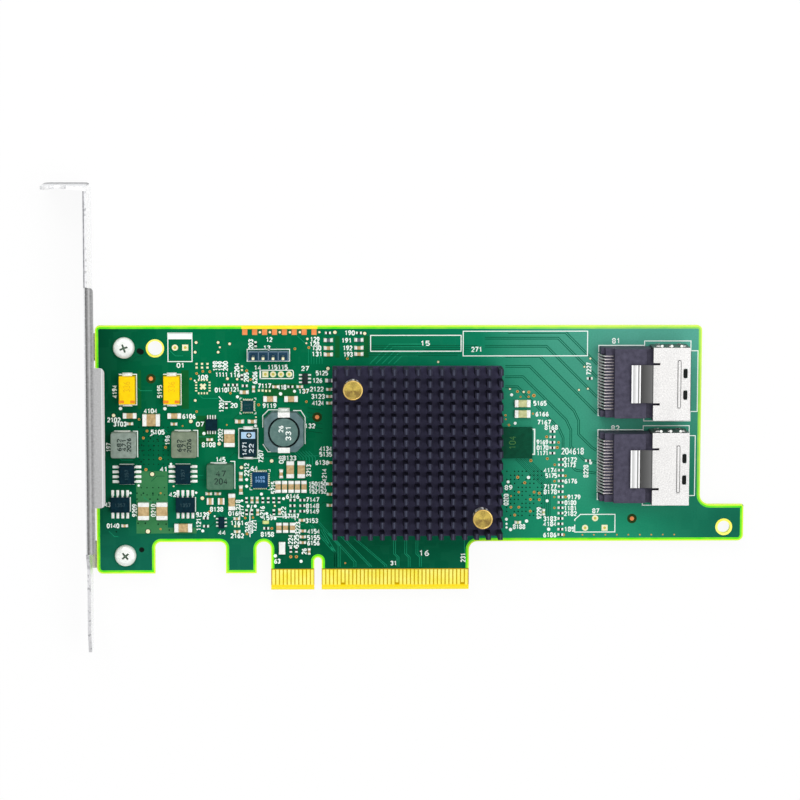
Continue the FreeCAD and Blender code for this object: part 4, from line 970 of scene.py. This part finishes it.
def beside(x, y, reach, turned):
    """A place at a reach along a part, which runs along Y where it is turned."""
    return (x, y + reach) if turned else (x + reach, y)


def chip_part(smalls, x, y, size, body, turned, share=0.24):
    """A two-terminal part with wrapped ends, its pads and the solder that climbs its ends."""
    length, width, height = size
    turn = 90.0 if turned else 0.0
    cap = length * share
    for side in BOTH:
        cx, cy = beside(x, y, side * (length / 2 - cap / 2), turned)
        smalls.block(cx, cy, cap, width * 1.02, FRONT, height * 1.02, height * 0.14, 0, turn)
        px, py = beside(x, y, side * (length / 2 + width * 0.10), turned)
        smalls.plate(px, py, width * 0.62, width * 1.16, FRONT, 0.03, 4, turn)
        rings = []
        for grow, z in ((0.30, 0.03), (0.10, height * 0.25), (-0.06, height * 0.62)):
            along = width * (0.55 + grow) * 0.8
            rings.append(level(rectangle(px, py, along, width * (0.86 + grow * 0.6), turn), z))
        smalls.loft(rings, 0)
    smalls.block(x, y, length - 2 * cap + 0.02, width * 0.96, FRONT, height, height * 0.10, body, turn)


def small_parts():
    """Chip resistors, capacitors and beads that are smaller than the solids."""
    resistor, capacitor, bead = range(1, 4)
    small = (1.05, 0.58, 0.36)
    medium = (1.18, 0.66, 0.52)
    large = (1.65, 0.88, 0.75)
    smalls = Shape()
    for places, turned, size, body in (
            (RESISTORS_ALONG_X, False, small, resistor), (RESISTORS_ALONG_Y, True, small, resistor),
            (CAPACITORS_ALONG_X, False, medium, capacitor), (CAPACITORS_ALONG_Y, True, medium, capacitor),
            (PARTS_ALONG_X, False, large, capacitor), (PARTS_ALONG_Y, True, large, capacitor),
            (BEADS, False, large, bead)):
        for x, y in places:
            chip_part(smalls, x, y, size, body, turned)
    for x, first, pitch, count in RESISTOR_COLUMNS:
        for i in range(count):
            chip_part(smalls, x, first - i * pitch, small, resistor, False, 0.27)
    black = finish("resistor_black", (6, 12, 14), (26, 34, 36), (0.35, 0.55), grain=1500, specular=0.1)
    grey = finish("bead_dark", (70, 84, 92), (112, 126, 132), (0.45, 0.6), grain=1500)
    smalls.build("small_parts", [solder, black, capacitor_tan, grey, cream_tin], "tin")


def six_lead_chip():
    """A chip with three leads a side."""
    x, y = SIX_LEAD_CHIP
    gate = Shape()
    gate.block(x, y, 1.5, 2.7, 0.08, 1.0, 0.10, 0)
    for side in BOTH:
        for i in range(3):
            gate.plate(x + side * 1.15, y + (i - 1) * 0.95, 0.8, 0.42, FRONT, 0.14, 1)
    black = finish("gate_black", (6, 26, 26), (20, 46, 46), (0.4, 0.55), grain=1500)
    gate.build("six_lead_chip", [black, solder], "black_epoxy")


def solder_fillets():
    """Solder round the feet of the larger parts."""
    fillets = Shape()

    def fillet(x, y, size_x, size_y, height):
        rings = []
        for share, z in ((1.0, 0.0), (0.92, height * 0.3), (0.72, height * 0.8), (0.55, height)):
            rings.append(level(soft_box(x, y, size_x / 2 * share, size_y / 2 * share, 0.12 * share, 3), z))
        fillets.loft(rings, 0)

    for (x, y), reach in ((TANTALUMS[0], 3.95), (TANTALUMS[1], 3.95), (BLACK_TANTALUM, 3.85)):
        for side in BOTH:
            fillet(x, y + side * reach, 2.6, 0.9, 0.5)
    for places, turned in ((TRANSISTORS_UPRIGHT, True), (TRANSISTORS_LYING, False)):
        for x, y in places:
            for side in BOTH:
                for i in range(4):
                    across, along = side * 2.95, (i - 1.5) * 1.27
                    if turned:
                        fillet(x + across, y + along, 1.5, 0.75, 0.12)
                    else:
                        fillet(x + along, y + across, 0.75, 1.5, 0.12)
    for x, y, reach in ((-49.95, 38.25, 3.3), (-34.40, 38.35, 3.35), (-25.20, 29.95, 3.3)):
        fillet(x - 0.4, y + reach, 4.2, 0.5, 0.3)
    for side in BOTH:
        fillet(-8.75, 41.70 + side * 5.35, 3.0, 1.1, 0.6)
    for (x, y), half, count in ((DRIVER_CHIP, 2.05, 6), (CLOCK_CHIP, 1.50, 4)):
        for i in range(count):
            step = (i - (count - 1) / 2) * 2 * half / (count + 0.6)
            for side in BOTH:
                fillet(x + side * half, y + step, 0.42, 0.36, 0.2)
                fillet(x + step, y + side * half, 0.36, 0.42, 0.2)
    for middle in SOCKET_MIDDLES:
        for i in range(36):
            fillet(72.45, middle + (i - 17.5) * 0.4, 0.55, 0.22, 0.08)
    fillets.build("solder_fillets", [solder], "tin")


def rear_joints():
    """Solder joints, vias, traces and screw rings on the rear face."""
    tin, amber, copper, gold = range(4)
    joints = Shape()
    radius, height = 0.85, 0.9
    cone = []
    for share, fall in ((0.35, 1.0), (0.55, 0.7), (0.85, 0.25), (1.0, 0.0)):
        cone.append((radius * share, REAR - height * fall))
    for i in range(4):
        joints.lathe(HEADER[0] + (i - 1.5) * HEADER_PITCH, HEADER[1], cone, tin, 16, bottom=True)
    for middle in SOCKET_MIDDLES:
        for i in range(18):
            for side in BOTH:
                joints.disc(77.0 + side * 1.2, middle + (i - 8.5) * 0.8, 0.45, REAR - PAD, REAR, tin, 8)
    for k in range(60):
        x = -52.0 + (k * 37 % 149)
        y = 16.0 + (k * 23 % 47) + 0.5 * (k % 3)
        joints.disc(x, y, 0.7 + 0.2 * (k % 2), REAR - PAD, REAR, amber, 10)
    for k in range(22):
        x = -50.0 + (k * 29 % 128)
        y = 18.0 + (k * 17 % 43)
        joints.line([(x, y), (x + 4.0, y + 4.0), (x + 13.0, y + 4.0)], 0.2, REAR - LACQUER, REAR, copper)
    for x, y in SCREWS:
        joints.ring(x, y, 3.6, 7.0, REAR - PAD, REAR, gold, 40)
    joints.build("rear_joints", [solder, amber_gold, trace_mask, gold_plate], "tin")


def top_marks():
    """Bands and generic numbers on top of the larger parts."""
    orange, pale, white, dark, blue, faint, gold, bright, amber = range(9)
    marks = Shape()
    for x, y in TANTALUMS:
        for shift, size in ((-1.42, 1.35), (1.42, 1.15)):
            marks.plate(x + shift, 49.55, size, 0.75, 2.80, 2.812, orange)
    marks.plate(-17.95, 40.72, 3.6, 1.75, 1.90, 1.912, pale)
    marks.disc(-17.75, 40.72, 1.45, 1.912, 1.92, dark, 20)
    for size_x, size_y in ((0.95, 0.2), (0.2, 0.95)):
        marks.plate(-17.75, 40.72, size_x, size_y, 1.92, 1.93, white)

    def mark(text, x, y, width, height, on, turned=True):
        top, slot, pen = on
        write_number(marks, text, x, y, width, height, pen, top, top + 0.012, turned, slot)

    inductor, small_inductor, drum = (3.0, dark, 0.25), (2.8, dark, 0.25), (3.9, white, 0.25)
    driver, clock, memory = (0.9, blue, 0.15), (0.85, faint, 0.15), (1.1, gold, 0.15)
    black, tantalum, transistor = (1.9, bright, 0.25), (2.8, amber, 0.15), (1.55, faint, 0.15)
    for x, y in ((-51.0, 38.4), (-35.6, 38.2)):
        mark("682", x, y, 3.0, 0.95, inductor)
        mark("471", x + 1.25, y, 3.0, 0.95, inductor)
        mark("2026", x + 2.5, y, 3.4, 0.95, inductor)
    mark("47", -25.0, 30.9, 2.4, 1.4, small_inductor, False)
    mark("204", -25.0, 28.9, 3.2, 1.4, small_inductor, False)
    mark("331", -7.6, 41.5, 3.6, 1.2, drum)
    mark("26", -9.5, 42.6, 1.6, 1.0, drum)
    mark("4105", -14.95, 29.6, 2.4, 0.55, driver, False)
    mark("2026", -14.95, 28.7, 2.4, 0.55, driver, False)
    mark("4471", -18.0, 48.5, 1.9, 0.45, clock, False)
    mark("47", -18.0, 47.6, 1.2, 0.45, clock, False)
    mark("11010010", 46.1, 38.4, 6.0, 0.55, memory)
    mark("104", 50.2, 38.6, 3.2, 1.6, memory)
    mark("22", -17.15, 37.3, 2.2, 1.0, black)
    mark("1471", -18.85, 37.3, 3.4, 1.0, black)
    for x, y in TANTALUMS:
        mark("336", x, 53.4, 2.6, 1.6, tantalum)
    for places, turned in ((TRANSISTORS_UPRIGHT, True), (TRANSISTORS_LYING, False)):
        for x, y in places:
            mark("1357", x, y, 2.6, 0.8, transistor, turned)
    marks.build("top_marks", [
        finish("amber_band", (226, 120, 20), (246, 150, 40), (0.5, 0.6)),
        finish("pale_band", (150, 190, 220), (186, 214, 236), (0.5, 0.6)), white_ink,
        finish("laser_dark", (28, 40, 38), (50, 64, 60), (0.6, 0.75), specular=0.1),
        finish("laser_blue", (96, 150, 206), (140, 186, 230), (0.6, 0.75)),
        finish("laser_faint", (34, 62, 70), (50, 80, 86), (0.6, 0.75)),
        finish("laser_gold", (66, 124, 60), (92, 148, 76), (0.6, 0.75)),
        finish("laser_white", (190, 206, 214), (226, 236, 240), (0.6, 0.75)),
        finish("laser_amber", (226, 168, 0), (240, 184, 8), (0.6, 0.75))], "yellow_epoxy")


def screw_head(screws, x, y, turn):
    """A pan head on its shank, with a small cross recess in its crown."""
    count, crown, crown_top = 64, 1.75, 1.72
    profile = ((1.5, -4.0), (1.5, 0.0), (2.75, 0.0), (2.75, 0.75), (2.66, 1.10), (2.42, 1.42), (2.05, 1.64),
               (crown, crown_top))
    screws.lathe(x, y, profile, 0, count, bottom=True, top=False)
    cross = []
    for k in range(4):
        a = math.radians(turn + 90 * k)
        for u, v in ((0.25, -0.25), (1.08, -0.22), (1.08, 0.22)):
            cross.append((x + u * math.cos(a) - v * math.sin(a), y + u * math.sin(a) + v * math.cos(a)))
    cross.sort(key=lambda p: math.atan2(p[1] - y, p[0] - x))
    n = len(cross)
    rim = circle(x, y, crown, count)
    floor = [(x + (u - x) * 0.7, y + (v - y) * 0.7) for u, v in cross]
    points = level(rim, crown_top) + level(cross, 1.75) + level(floor, 0.95)
    order = list(range(count)) + [count + n - 1 - k for k in range(n)]
    screws.add(points, [[order[i] for i in triangle] for triangle in cover([rim, cross[::-1]])], 0)
    walls = [[count + k, count + (k + 1) % n, count + n + (k + 1) % n, count + n + k] for k in range(n)]
    screws.add(points, walls + [[count + n + k for k in range(n)]], 1)


def screw_heads():
    """The two bracket screws."""
    screws = Shape()
    for (x, y), turn in zip(SCREWS, (20.0, 40.0)):
        screw_head(screws, x, y, turn)
    nickel = finish("screw_nickel", (226, 232, 226), (255, 255, 252), (0.26, 0.42), 0.25, fine=5000, bump=0.3)
    # The cross recess is painted dark green-grey as shade.
    recess = finish("recess_shade", (84, 112, 92), (126, 152, 128), (0.5, 0.7), 0.1, 1500)
    screws.build("screw_heads", [nickel, recess], "screw_steel", ("bracket_screws",))


def push_pins_turned():
    """Turned pins with a dished head and a bright rim, on barbs behind the board."""
    pins = Shape()
    for x, y in PUSH_PINS:
        barb = [level(rectangle(x, y, wide, 1.4), z) for wide, z in ((1.6, -3.27), (3.6, REAR))]
        pins.loft(barb, 0, bottom=True)
        shaft = ((1.2, REAR), (1.2, 11.1), (2.30, 11.1), (2.50, 11.22), (2.55, 11.45), (2.55, 11.62))
        pins.lathe(x, y, shaft, 0, 56, top=False)
        lip = ((2.55, 11.62), (2.52, 11.84), (2.44, 11.97), (2.30, 12.0), (2.20, 11.95))
        pins.lathe(x, y, lip, 1, 56, top=False)
        pins.lathe(x, y, ((2.20, 11.95), (1.2, 11.93), (0.4, 11.92)), 0, 56)
    # The brass is painted lighter to one side and in waves round each pin, as the sheen of turned metal.
    brass = glint_fan_finish("turned_brass", PUSH_PINS, (1, 3), (126, 102, 38), (202, 176, 78), 0.35)
    rim = finish("brass_rim", (206, 168, 84), (240, 208, 126), (0.25, 0.38), 0.45, 400)
    pins.build("push_pins_turned", [brass, rim], "pin_brass", ("push_pins",))


def coil_springs():
    """Round wire wound between the sink's base and the heads of the pins."""
    radius, foot, rise, turns, steps = 2.05, 5.58, 5.24, 3, 28
    springs = Shape()
    for x, y in PUSH_PINS:
        path = []
        for i in range(turns * steps + 1):
            angle = 2 * math.pi * i / steps
            path.append((x + radius * math.cos(angle), y + radius * math.sin(angle),
                         foot + rise * i / (turns * steps)))
        springs.tube(path, 0.25, 0, 10)
    # The wire is painted from near black to white in waves round each pin, as glints on the coils.
    wire = glint_fan_finish("spring_wire", PUSH_PINS, (9, 14), (30, 30, 36), (255, 255, 255), 0.2)
    springs.build("coil_springs", [wire], "spring_steel", ("push_pin_springs",))


def pin_fin_sink():
    """The heat sink with the tips of its pins bevelled to a narrow ridge, the ridges painted lighter as a
    highlight.
    """
    middle_x, middle_y, pitch, count = 25.45, 36.90, 3.02, 15
    plate_low, plate_top = 3.10, 5.30
    sink = Shape()
    holes = [circle(x, y, 1.50, 32) for x, y in PUSH_PINS]
    sink.pierced(soft_box(middle_x, middle_y, 21.74, 21.94, 0.3, 3), holes, plate_low, plate_top, 2)
    sections = ((1.20, 1.60, plate_top), (1.20, 1.60, 11.80), (1.08, 1.60, 11.94), (0.38, 1.56, 12.08),
                (0.32, 1.52, 12.10))
    for i in range(count):
        for j in range(count):
            x = middle_x + (i - 7) * pitch
            y = middle_y + (j - 7) * pitch
            if any(abs(x - u) < 2.11 and abs(y - v) < 2.31 for u, v in PUSH_PINS):
                continue
            rings = [level(rectangle(x, y, wide, deep), z) for wide, deep, z in sections]
            sink.loft(rings[:4], 0, top=False)
            sink.loft(rings[3:], 1)
    sink.build("pin_fin_sink", [
        finish("anodised", (33, 33, 48), (47, 46, 64), (0.5, 0.65), 0, 420, 5000, 0.3, specular=0.12),
        # The ridges of the pin tips are painted lighter as a highlight.
        finish("ridge_highlight", (50, 54, 70), (70, 74, 92), (0.5, 0.6), 0, 420, 5000, specular=0.15),
        finish("sink_base", (54, 52, 76), (70, 68, 94), (0.5, 0.65), 0, 420, 5000, specular=0.12)],
        "sink_black", ("heat_sink",))


def socket_details(slate):
    """Painted shade: dark sheets behind the windows and under the contacts, and a grey line along the creased
    edge of the bead.
    """
    shadow, crease_shade, under, tin, housing = range(5)
    shell_top = 8.60
    dark = Shape()
    for middle in SOCKET_MIDDLES:
        # Painted shade: a dark sheet in each window of the shell.
        for side in BOTH:
            window = soft_box(93.90, middle + side * 2.775, 0.55, 1.2, 0.45, 4)
            dark.slab(window, shell_top, shell_top + 0.012, shadow)
        # Painted shade: a grey line along the creased edge of the bead.
        dark.line(soft_box(92.35, middle, 0.37, 6.1, 0.36, 4), 0.18, 8.75, 8.756, crease_shade, closed=True)
        for side in BOTH:
            dark.block(73.15, middle + side * 8.15, 1.2, 1.6, FRONT, 4.2, 0.15, housing)
        # Painted shade: a dark sheet under the contacts and a dark block at the shell's edge.
        dark.plate(74.1, middle, 3.2, 14.9, FRONT, 0.016, under)
        dark.plate(85.25, middle + 9.20, 0.5, 0.28, 8.0, 8.22, shadow)
        for k in range(3):
            dark.disc(87.9 + 2.5 * k, middle + 9.75, 0.7, 8.0, 8.1, tin, 12)
    dark.build("socket_details", [
        finish("deep_shadow", (10, 14, 14), (34, 38, 36), (0.7, 0.85), specular=0.1),
        finish("crease_shade_grey", (96, 96, 98), (130, 130, 130), (0.5, 0.6), grain=2500),
        finish("slate_shadow", (20, 28, 40), (44, 54, 66), (0.6, 0.8), grain=1500, specular=0.1),
        solder, slate], "shell_steel")


def header_trim():
    """Cell walls of the header and the tips of its pins."""
    x, y = HEADER
    low, top = 2.5, 2.52
    trim = Shape()
    for i in range(5):
        trim.plate(x + (i - 2) * HEADER_PITCH, y, 0.22, 2.46, low, top, 0)
    for side in BOTH:
        trim.plate(x, y + side * 1.14, 10.1, 0.2, low, top, 0)
    for i in range(4):
        trim.plate(x + (i - 1.5) * HEADER_PITCH, y, 0.66, 0.66, 8.38, 8.401, 1)
    wall = finish("header_wall", (96, 124, 146), (130, 156, 174), (0.5, 0.6), grain=1500)
    trim.build("header_trim", [wall, cream_tin], "header_black")


def shell_finish():
    """Tinned sheet: speckled, with painted shade and highlights across the folds of the pressed latch plate,
    and painted shade on the walls turned to +Y.
    """
    graph = Graph("shell_tin")
    x, y, z = graph.split(graph.place)
    speck = graph.noise(4200.0, 3.0)
    grain = graph.noise(2900.0, 2.0)
    base = graph.layers(
        graph.mix(graph.spread(speck), (200, 198, 197), (236, 235, 233)),
        (graph.spread(grain, 0.0, 0.26, 0.50, 0.66), (176, 176, 178)),
        (graph.spread(grain, 0.30, 0.0, 0.34, 0.48), (252, 252, 251)),
        (graph.spread(graph.noise(260.0, 4.0), 0.0, 0.22), (186, 185, 184)))
    # Painted shade and highlights across the folds of the latch plate, as grey levels along X.
    folds = graph.greys(graph.ramp(x, 80.0, 86.2), (
        (0.0, 245), (0.06, 240), (0.10, 176), (0.18, 206), (0.27, 238), (0.30, 110), (0.335, 120),
        (0.355, 245), (0.385, 240), (0.41, 70), (0.86, 100), (0.90, 66)))
    colour = graph.mix(graph.under(x, 85.7 * MM), base, folds)
    # Painted shade: faces turned to +Y are dark grey, but for the upper parts of the dimples.
    wall = graph.over(graph.facing()[1], 0.7)
    for middle in SOCKET_MIDDLES:
        dimple = graph.times(graph.within(y, middle + 9.55, 0.12), graph.over(z, 6.8 * MM))
        wall = graph.times(wall, graph.math("SUBTRACT", 1.0, dimple))
    colour = graph.mix(wall, colour, (84, 84, 86))
    return graph.close(colour, graph.spread(speck, 0.30, 0.46), speck, 0.35, 0.02, 0.35)


def bracket_finish():
    """Plated steel with painted light: painted shade and highlights on the cut edges and across the lip's
    fold, faces turned sideways painted near white as lit faces, a painted shade gradient on faces turned to
    +Y, and grain on the flange.
    """
    graph = Graph("bracket_steel")
    x, y, z = graph.split(graph.place)
    facing_x, facing_y, facing_z = graph.facing()
    speck = graph.noise(2400.0, 4.0)
    grey = graph.mix(graph.spread(speck), (160, 160, 163), (198, 198, 200))
    # Painted shade and highlights across the lip's fold, as grey levels along X.
    fold_shade = graph.greys(graph.ramp(x, -58.95, -53.95), (
        (0.0, 90), (0.02, 70), (0.10, 72), (0.17, 126), (0.27, 178), (0.32, 138), (0.37, 114), (0.47, 158),
        (0.53, 168), (0.83, 170), (0.87, 228), (0.90, 190)))
    fold_shade_and_grain = graph.mix(graph.spread(speck, 0.0, 0.22), fold_shade, (236, 236, 238))
    # Cut edges facing up: grey with speckle and mottling, lighter below y 10; above y 80, a painted dark line
    # on the outer side and painted white beyond it; past y 104.2, painted white as a lit face.
    cut = graph.layers(
        graph.mix(graph.ramp(y, 10, 14), (212, 212, 214), (178, 178, 182)),
        (graph.ramp(y, 79.5, 80.1), graph.mix(graph.ramp(x, -58.7, -58.5), (112, 112, 118), (236, 236, 238))),
        (graph.spread(speck, 0.0, 0.40), (240, 240, 242)),
        (graph.spread(graph.noise(1100.0, 3.0), 0.0, 0.55, 0.56, 0.66), (120, 120, 124)),
        (graph.over(y, 104.2 * MM), (246, 246, 247)))
    fold = graph.times(graph.over(z, 13.0 * MM), graph.within(y, 45.9, 34.1))
    upward = graph.over(facing_z, 0.7)
    sideways = graph.over(graph.math("ABSOLUTE", facing_x), 0.7)
    # Faces turned sideways are painted near white, and those turned to +X white, as lit faces; faces turned
    # to +Y get a painted shade gradient, dark at the rear and white at the front.
    colour = graph.layers(
        grey,
        (graph.times(graph.under(x, -57.8 * MM), upward), cut),
        (graph.times(fold, upward), fold_shade_and_grain),
        (sideways, graph.mix(graph.spread(speck), (214, 215, 218), (236, 237, 239))),
        (graph.over(facing_x, 0.7), (252, 252, 253)),
        (graph.over(facing_y, 0.7), graph.mix(graph.ramp(z, -3, 8), (96, 97, 101), (240, 241, 243))))
    rough = graph.math("SUBTRACT", graph.spread(speck, 0.36, 0.50), graph.times(sideways, 0.2))
    metal = graph.math("ADD", 0.30, graph.times(sideways, 0.15))
    return graph.close(colour, rough, speck, 0.35, 0.02, metal)


def dress_solids(slate):
    """Gives each solid of the CAD its finish."""
    looks = (
        (mask_finish(), "circuit_board"),
        (gold_plate, "edge_contacts_front edge_contacts_rear"),
        (bare_copper, "top_edge_pads"),
        (bracket_finish(), "mounting_bracket"),
        (shell_finish(), "sas_socket_upper_shell sas_socket_lower_shell"),
        (slate, "sas_socket_upper_housing sas_socket_lower_housing"),
        (finish("contact_bars", (200, 192, 194), (246, 238, 240), (0.25, 0.4), 0.3),
         "sas_socket_upper_contacts sas_socket_lower_contacts"),
        (finish("black_epoxy", (0, 26, 36), (10, 48, 60), (0.38, 0.55), 0, 1200, bump=0.3, specular=0.06),
         "power_transistor_a power_transistor_b power_transistor_c power_transistor_d"
         " regulator_chip logic_chip"),
        (pressed_powder("iron_powder", (116, 130, 120), (156, 170, 160)), "power_inductor_left"),
        (pressed_powder("iron_olive", (102, 116, 96), (140, 152, 130), 0.1), "power_inductor_middle"),
        (pressed_powder("iron_dark", (62, 100, 80), (94, 130, 106), 0.08), "power_inductor_right"),
        (finish("tantalum_yellow", (255, 202, 0), (255, 222, 8), (0.42, 0.58), 0, 800, 6000, 0.3, 0.02, 0.1),
         "tantalum_capacitor_left tantalum_capacitor_middle"),
        (finish("tantalum_black", (2, 30, 40), (12, 46, 56), specular=0.08), "tantalum_capacitor_right"),
        (solder, "inductor_clips drum_inductor_clips transistor_leads small_chip_leads large_capacitor_ends"
                 " small_capacitor_ends fuse_ends"),
        (finish("chip_laminate", (14, 66, 40), (30, 96, 58)), "controller_chip"),
        (finish("lid_nickel", (140, 142, 146), (180, 182, 186), (0.35, 0.5), 0.7, 500), "controller_lid"),
        (finish("thermal_grey", (140, 142, 148), (168, 170, 176), (0.7, 0.85), 0, 700), "thermal_pad"),
        (finish("ferrite_shell", (74, 98, 100), (110, 134, 136), (0.45, 0.62), 0, 700, 6000, 0.4, 0.02, 0.1),
         "drum_inductor_shield"),
        (finish("ferrite_drum", (70, 102, 98), (106, 134, 128), (0.45, 0.62), 0, 700, 6000, 0.4, 0.02, 0.1),
         "drum_inductor_core"),
        (finish("driver_blue", (4, 48, 78), (16, 68, 102), (0.35, 0.5), specular=0.06), "driver_chip"),
        (finish("clock_teal", (0, 48, 52), (8, 66, 68), (0.35, 0.5), specular=0.08), "clock_chip"),
        (finish("memory_green", (2, 62, 42), (8, 86, 60), (0.3, 0.45), 0, 700, specular=0.05), "memory_chip"),
        (finish("header_slate", (22, 54, 76), (40, 76, 98), specular=0.1), "header_base"),
        (finish("pin_gold", (70, 96, 110), (120, 140, 140), (0.3, 0.45), 0.3), "header_pins"),
        (capacitor_tan, "large_capacitors small_capacitors"),
        (finish("fuse_white", (226, 232, 226), (250, 252, 248)), "fuse"),
        (finish("clip_tin", (240, 244, 240), (255, 255, 254), (0.3, 0.45), bump=0.3), "tantalum_clips"),
        (finish("lamp_resin", (196, 206, 120), (226, 236, 160), (0.15, 0.3)), "status_lamp"),
    )
    for used, names in looks:
        for name in names.split():
            body = nodes[name]
            if not body.material_slots:
                body.data.materials.append(used)
            for slot in body.material_slots:
                slot.material = used


def soften(name, width):
    """Rounds off the edges of a solid with a small bevel."""
    body = nodes[name]
    weld = body.modifiers.new("weld", "WELD")
    weld.merge_threshold = 0.002 * MM
    flat = body.modifiers.new("flat", "DECIMATE")
    flat.decimate_type = "DISSOLVE"
    flat.angle_limit = math.radians(1.0)
    bevel = body.modifiers.new("bevel", "BEVEL")
    bevel.width = width * MM
    bevel.segments = 2
    bevel.limit_method = "ANGLE"
    bevel.angle_limit = math.radians(40)
    normals = body.modifiers.new("normals", "WEIGHTED_NORMAL")
    normals.keep_sharp = False


def soft_edges():
    """The widths of the bevels of the solids."""
    for width, names in (
            (0.25, "power_inductor_left power_inductor_middle power_inductor_right"),
            (0.18, "tantalum_capacitor_left tantalum_capacitor_middle"),
            (0.15, "tantalum_capacitor_right"),
            (0.12, "mounting_bracket drum_inductor_shield drum_inductor_core header_base"),
            (0.10, "sas_socket_upper_shell sas_socket_lower_shell power_transistor_a power_transistor_b"
                   " power_transistor_c power_transistor_d large_capacitors large_capacitor_ends"),
            (0.08, "sas_socket_upper_housing sas_socket_lower_housing memory_chip inductor_clips"
                   " drum_inductor_clips"),
            (0.06, "small_capacitors small_capacitor_ends fuse fuse_ends regulator_chip logic_chip"),
            (0.05, "driver_chip clock_chip")):
        for name in names.split():
            soften(name, width)


def studio_floor():
    """A white sheet under the part that still takes its shadow."""
    size = 3000 * MM
    sheet = frame_path(-size, -size, size, size)
    mesh = bpy.data.meshes.new("floor")
    mesh.from_pydata(level(sheet, cad_low.z - 0.1 * MM), [], [(0, 1, 2, 3)])
    made = bpy.data.objects.new("floor", mesh)
    bpy.context.scene.collection.objects.link(made)
    graph = Graph("floor_paper")
    graph.shader.inputs["Roughness"].default_value = 0.9
    paper = graph.mix(graph.noise(6.0), (244, 244, 244), (250, 250, 250))
    graph.put(graph.shader.inputs["Base Color"], paper)
    glow = graph.node("ShaderNodeEmission")
    glow.inputs["Color"].default_value = (1, 1, 1, 1)
    glow.inputs["Strength"].default_value = 1.0
    rays = graph.node("ShaderNodeLightPath")
    seen = graph.math("MAXIMUM", rays.outputs["Is Camera Ray"], rays.outputs["Is Glossy Ray"])
    blend = graph.node("ShaderNodeMixShader")
    graph.put(blend.inputs[0], graph.times(seen, 0.92))
    graph.put(blend.inputs[1], graph.shader.outputs[0])
    graph.put(blend.inputs[2], glow.outputs[0])
    graph.put(graph.tree.nodes["Material Output"].inputs["Surface"], blend.outputs[0])
    mesh.materials.append(graph.material)


def studio_sky():
    """Even grey all round with one broad bright patch above and to the right of the part."""
    world = bpy.data.worlds.new("studio")
    bpy.context.scene.world = world
    world.use_nodes = True
    tree = world.node_tree
    back = tree.nodes["Background"]
    back.inputs["Strength"].default_value = 1.0
    place = tree.nodes.new("ShaderNodeTexCoord")
    aim = tree.nodes.new("ShaderNodeVectorMath")
    aim.operation = "DOT_PRODUCT"
    aim.inputs[1].default_value = (0.42, 0.12, 0.90)
    tree.links.new(place.outputs["Generated"], aim.inputs[0])
    patch = tree.nodes.new("ShaderNodeMapRange")
    patch.interpolation_type = "SMOOTHSTEP"
    for socket, value in (("From Min", 0.80), ("From Max", 0.95), ("To Min", 0.55), ("To Max", 1.60)):
        patch.inputs[socket].default_value = value
    tree.links.new(aim.outputs["Value"], patch.inputs["Value"])
    tree.links.new(patch.outputs["Result"], back.inputs["Color"])


def softbox(name, place, size_x, size_y, power):
    """A rectangular lamp turned to the middle of the part."""
    lamp = bpy.data.lights.new(name, "AREA")
    lamp.shape = "RECTANGLE"
    lamp.size = size_x * MM
    lamp.size_y = size_y * MM
    lamp.energy = power
    made = bpy.data.objects.new(name, lamp)
    made.location = [value * MM for value in place]
    aim = Vector((20, 35, 0)) * MM - Vector(made.location)
    made.rotation_euler = aim.to_track_quat("-Z", "Y").to_euler()
    bpy.context.scene.collection.objects.link(made)


def photo_camera():
    """A camera at the photograph's viewing angle."""
    focal_pixels, picture_width, sensor_width = 3127.55352, 800, 36.0
    tilt, swing, roll = -0.12349, -0.030129, 0.002281
    camera = bpy.data.objects.new("camera", bpy.data.cameras.new("camera"))
    camera.data.sensor_width = sensor_width
    camera.data.lens = focal_pixels * sensor_width / picture_width
    camera.data.clip_start = 0.05
    camera.data.clip_end = 20.0
    turned = Matrix.Rotation(roll, 4, "Z") @ Matrix.Rotation(swing, 4, "Y") @ Matrix.Rotation(tilt, 4, "X")
    camera.matrix_world = Matrix.Translation(Vector((-3.164574, 148.883816, 799.987288)) * MM) @ turned
    bpy.context.scene.collection.objects.link(camera)
    bpy.context.scene.camera = camera


board_bare_rim()
silk_screen()
copper_pads()
lacquered_traces()
small_parts()
six_lead_chip()
solder_fillets()
rear_joints()
top_marks()
screw_heads()
push_pins_turned()
coil_springs()
pin_fin_sink()
housing_slate = finish("housing_slate", (52, 50, 66), (82, 79, 98), (0.45, 0.6), fine=7000, bump=0.35,
                       specular=0.18)
socket_details(housing_slate)
header_trim()
dress_solids(housing_slate)
soft_edges()
studio_floor()
studio_sky()
softbox("key", (-250, 900, 1000), 700, 600, 4.9)
softbox("fill", (500, 100, 1000), 600, 500, 2.2)
photo_camera()
bpy.context.scene.view_settings.view_transform = "Standard"
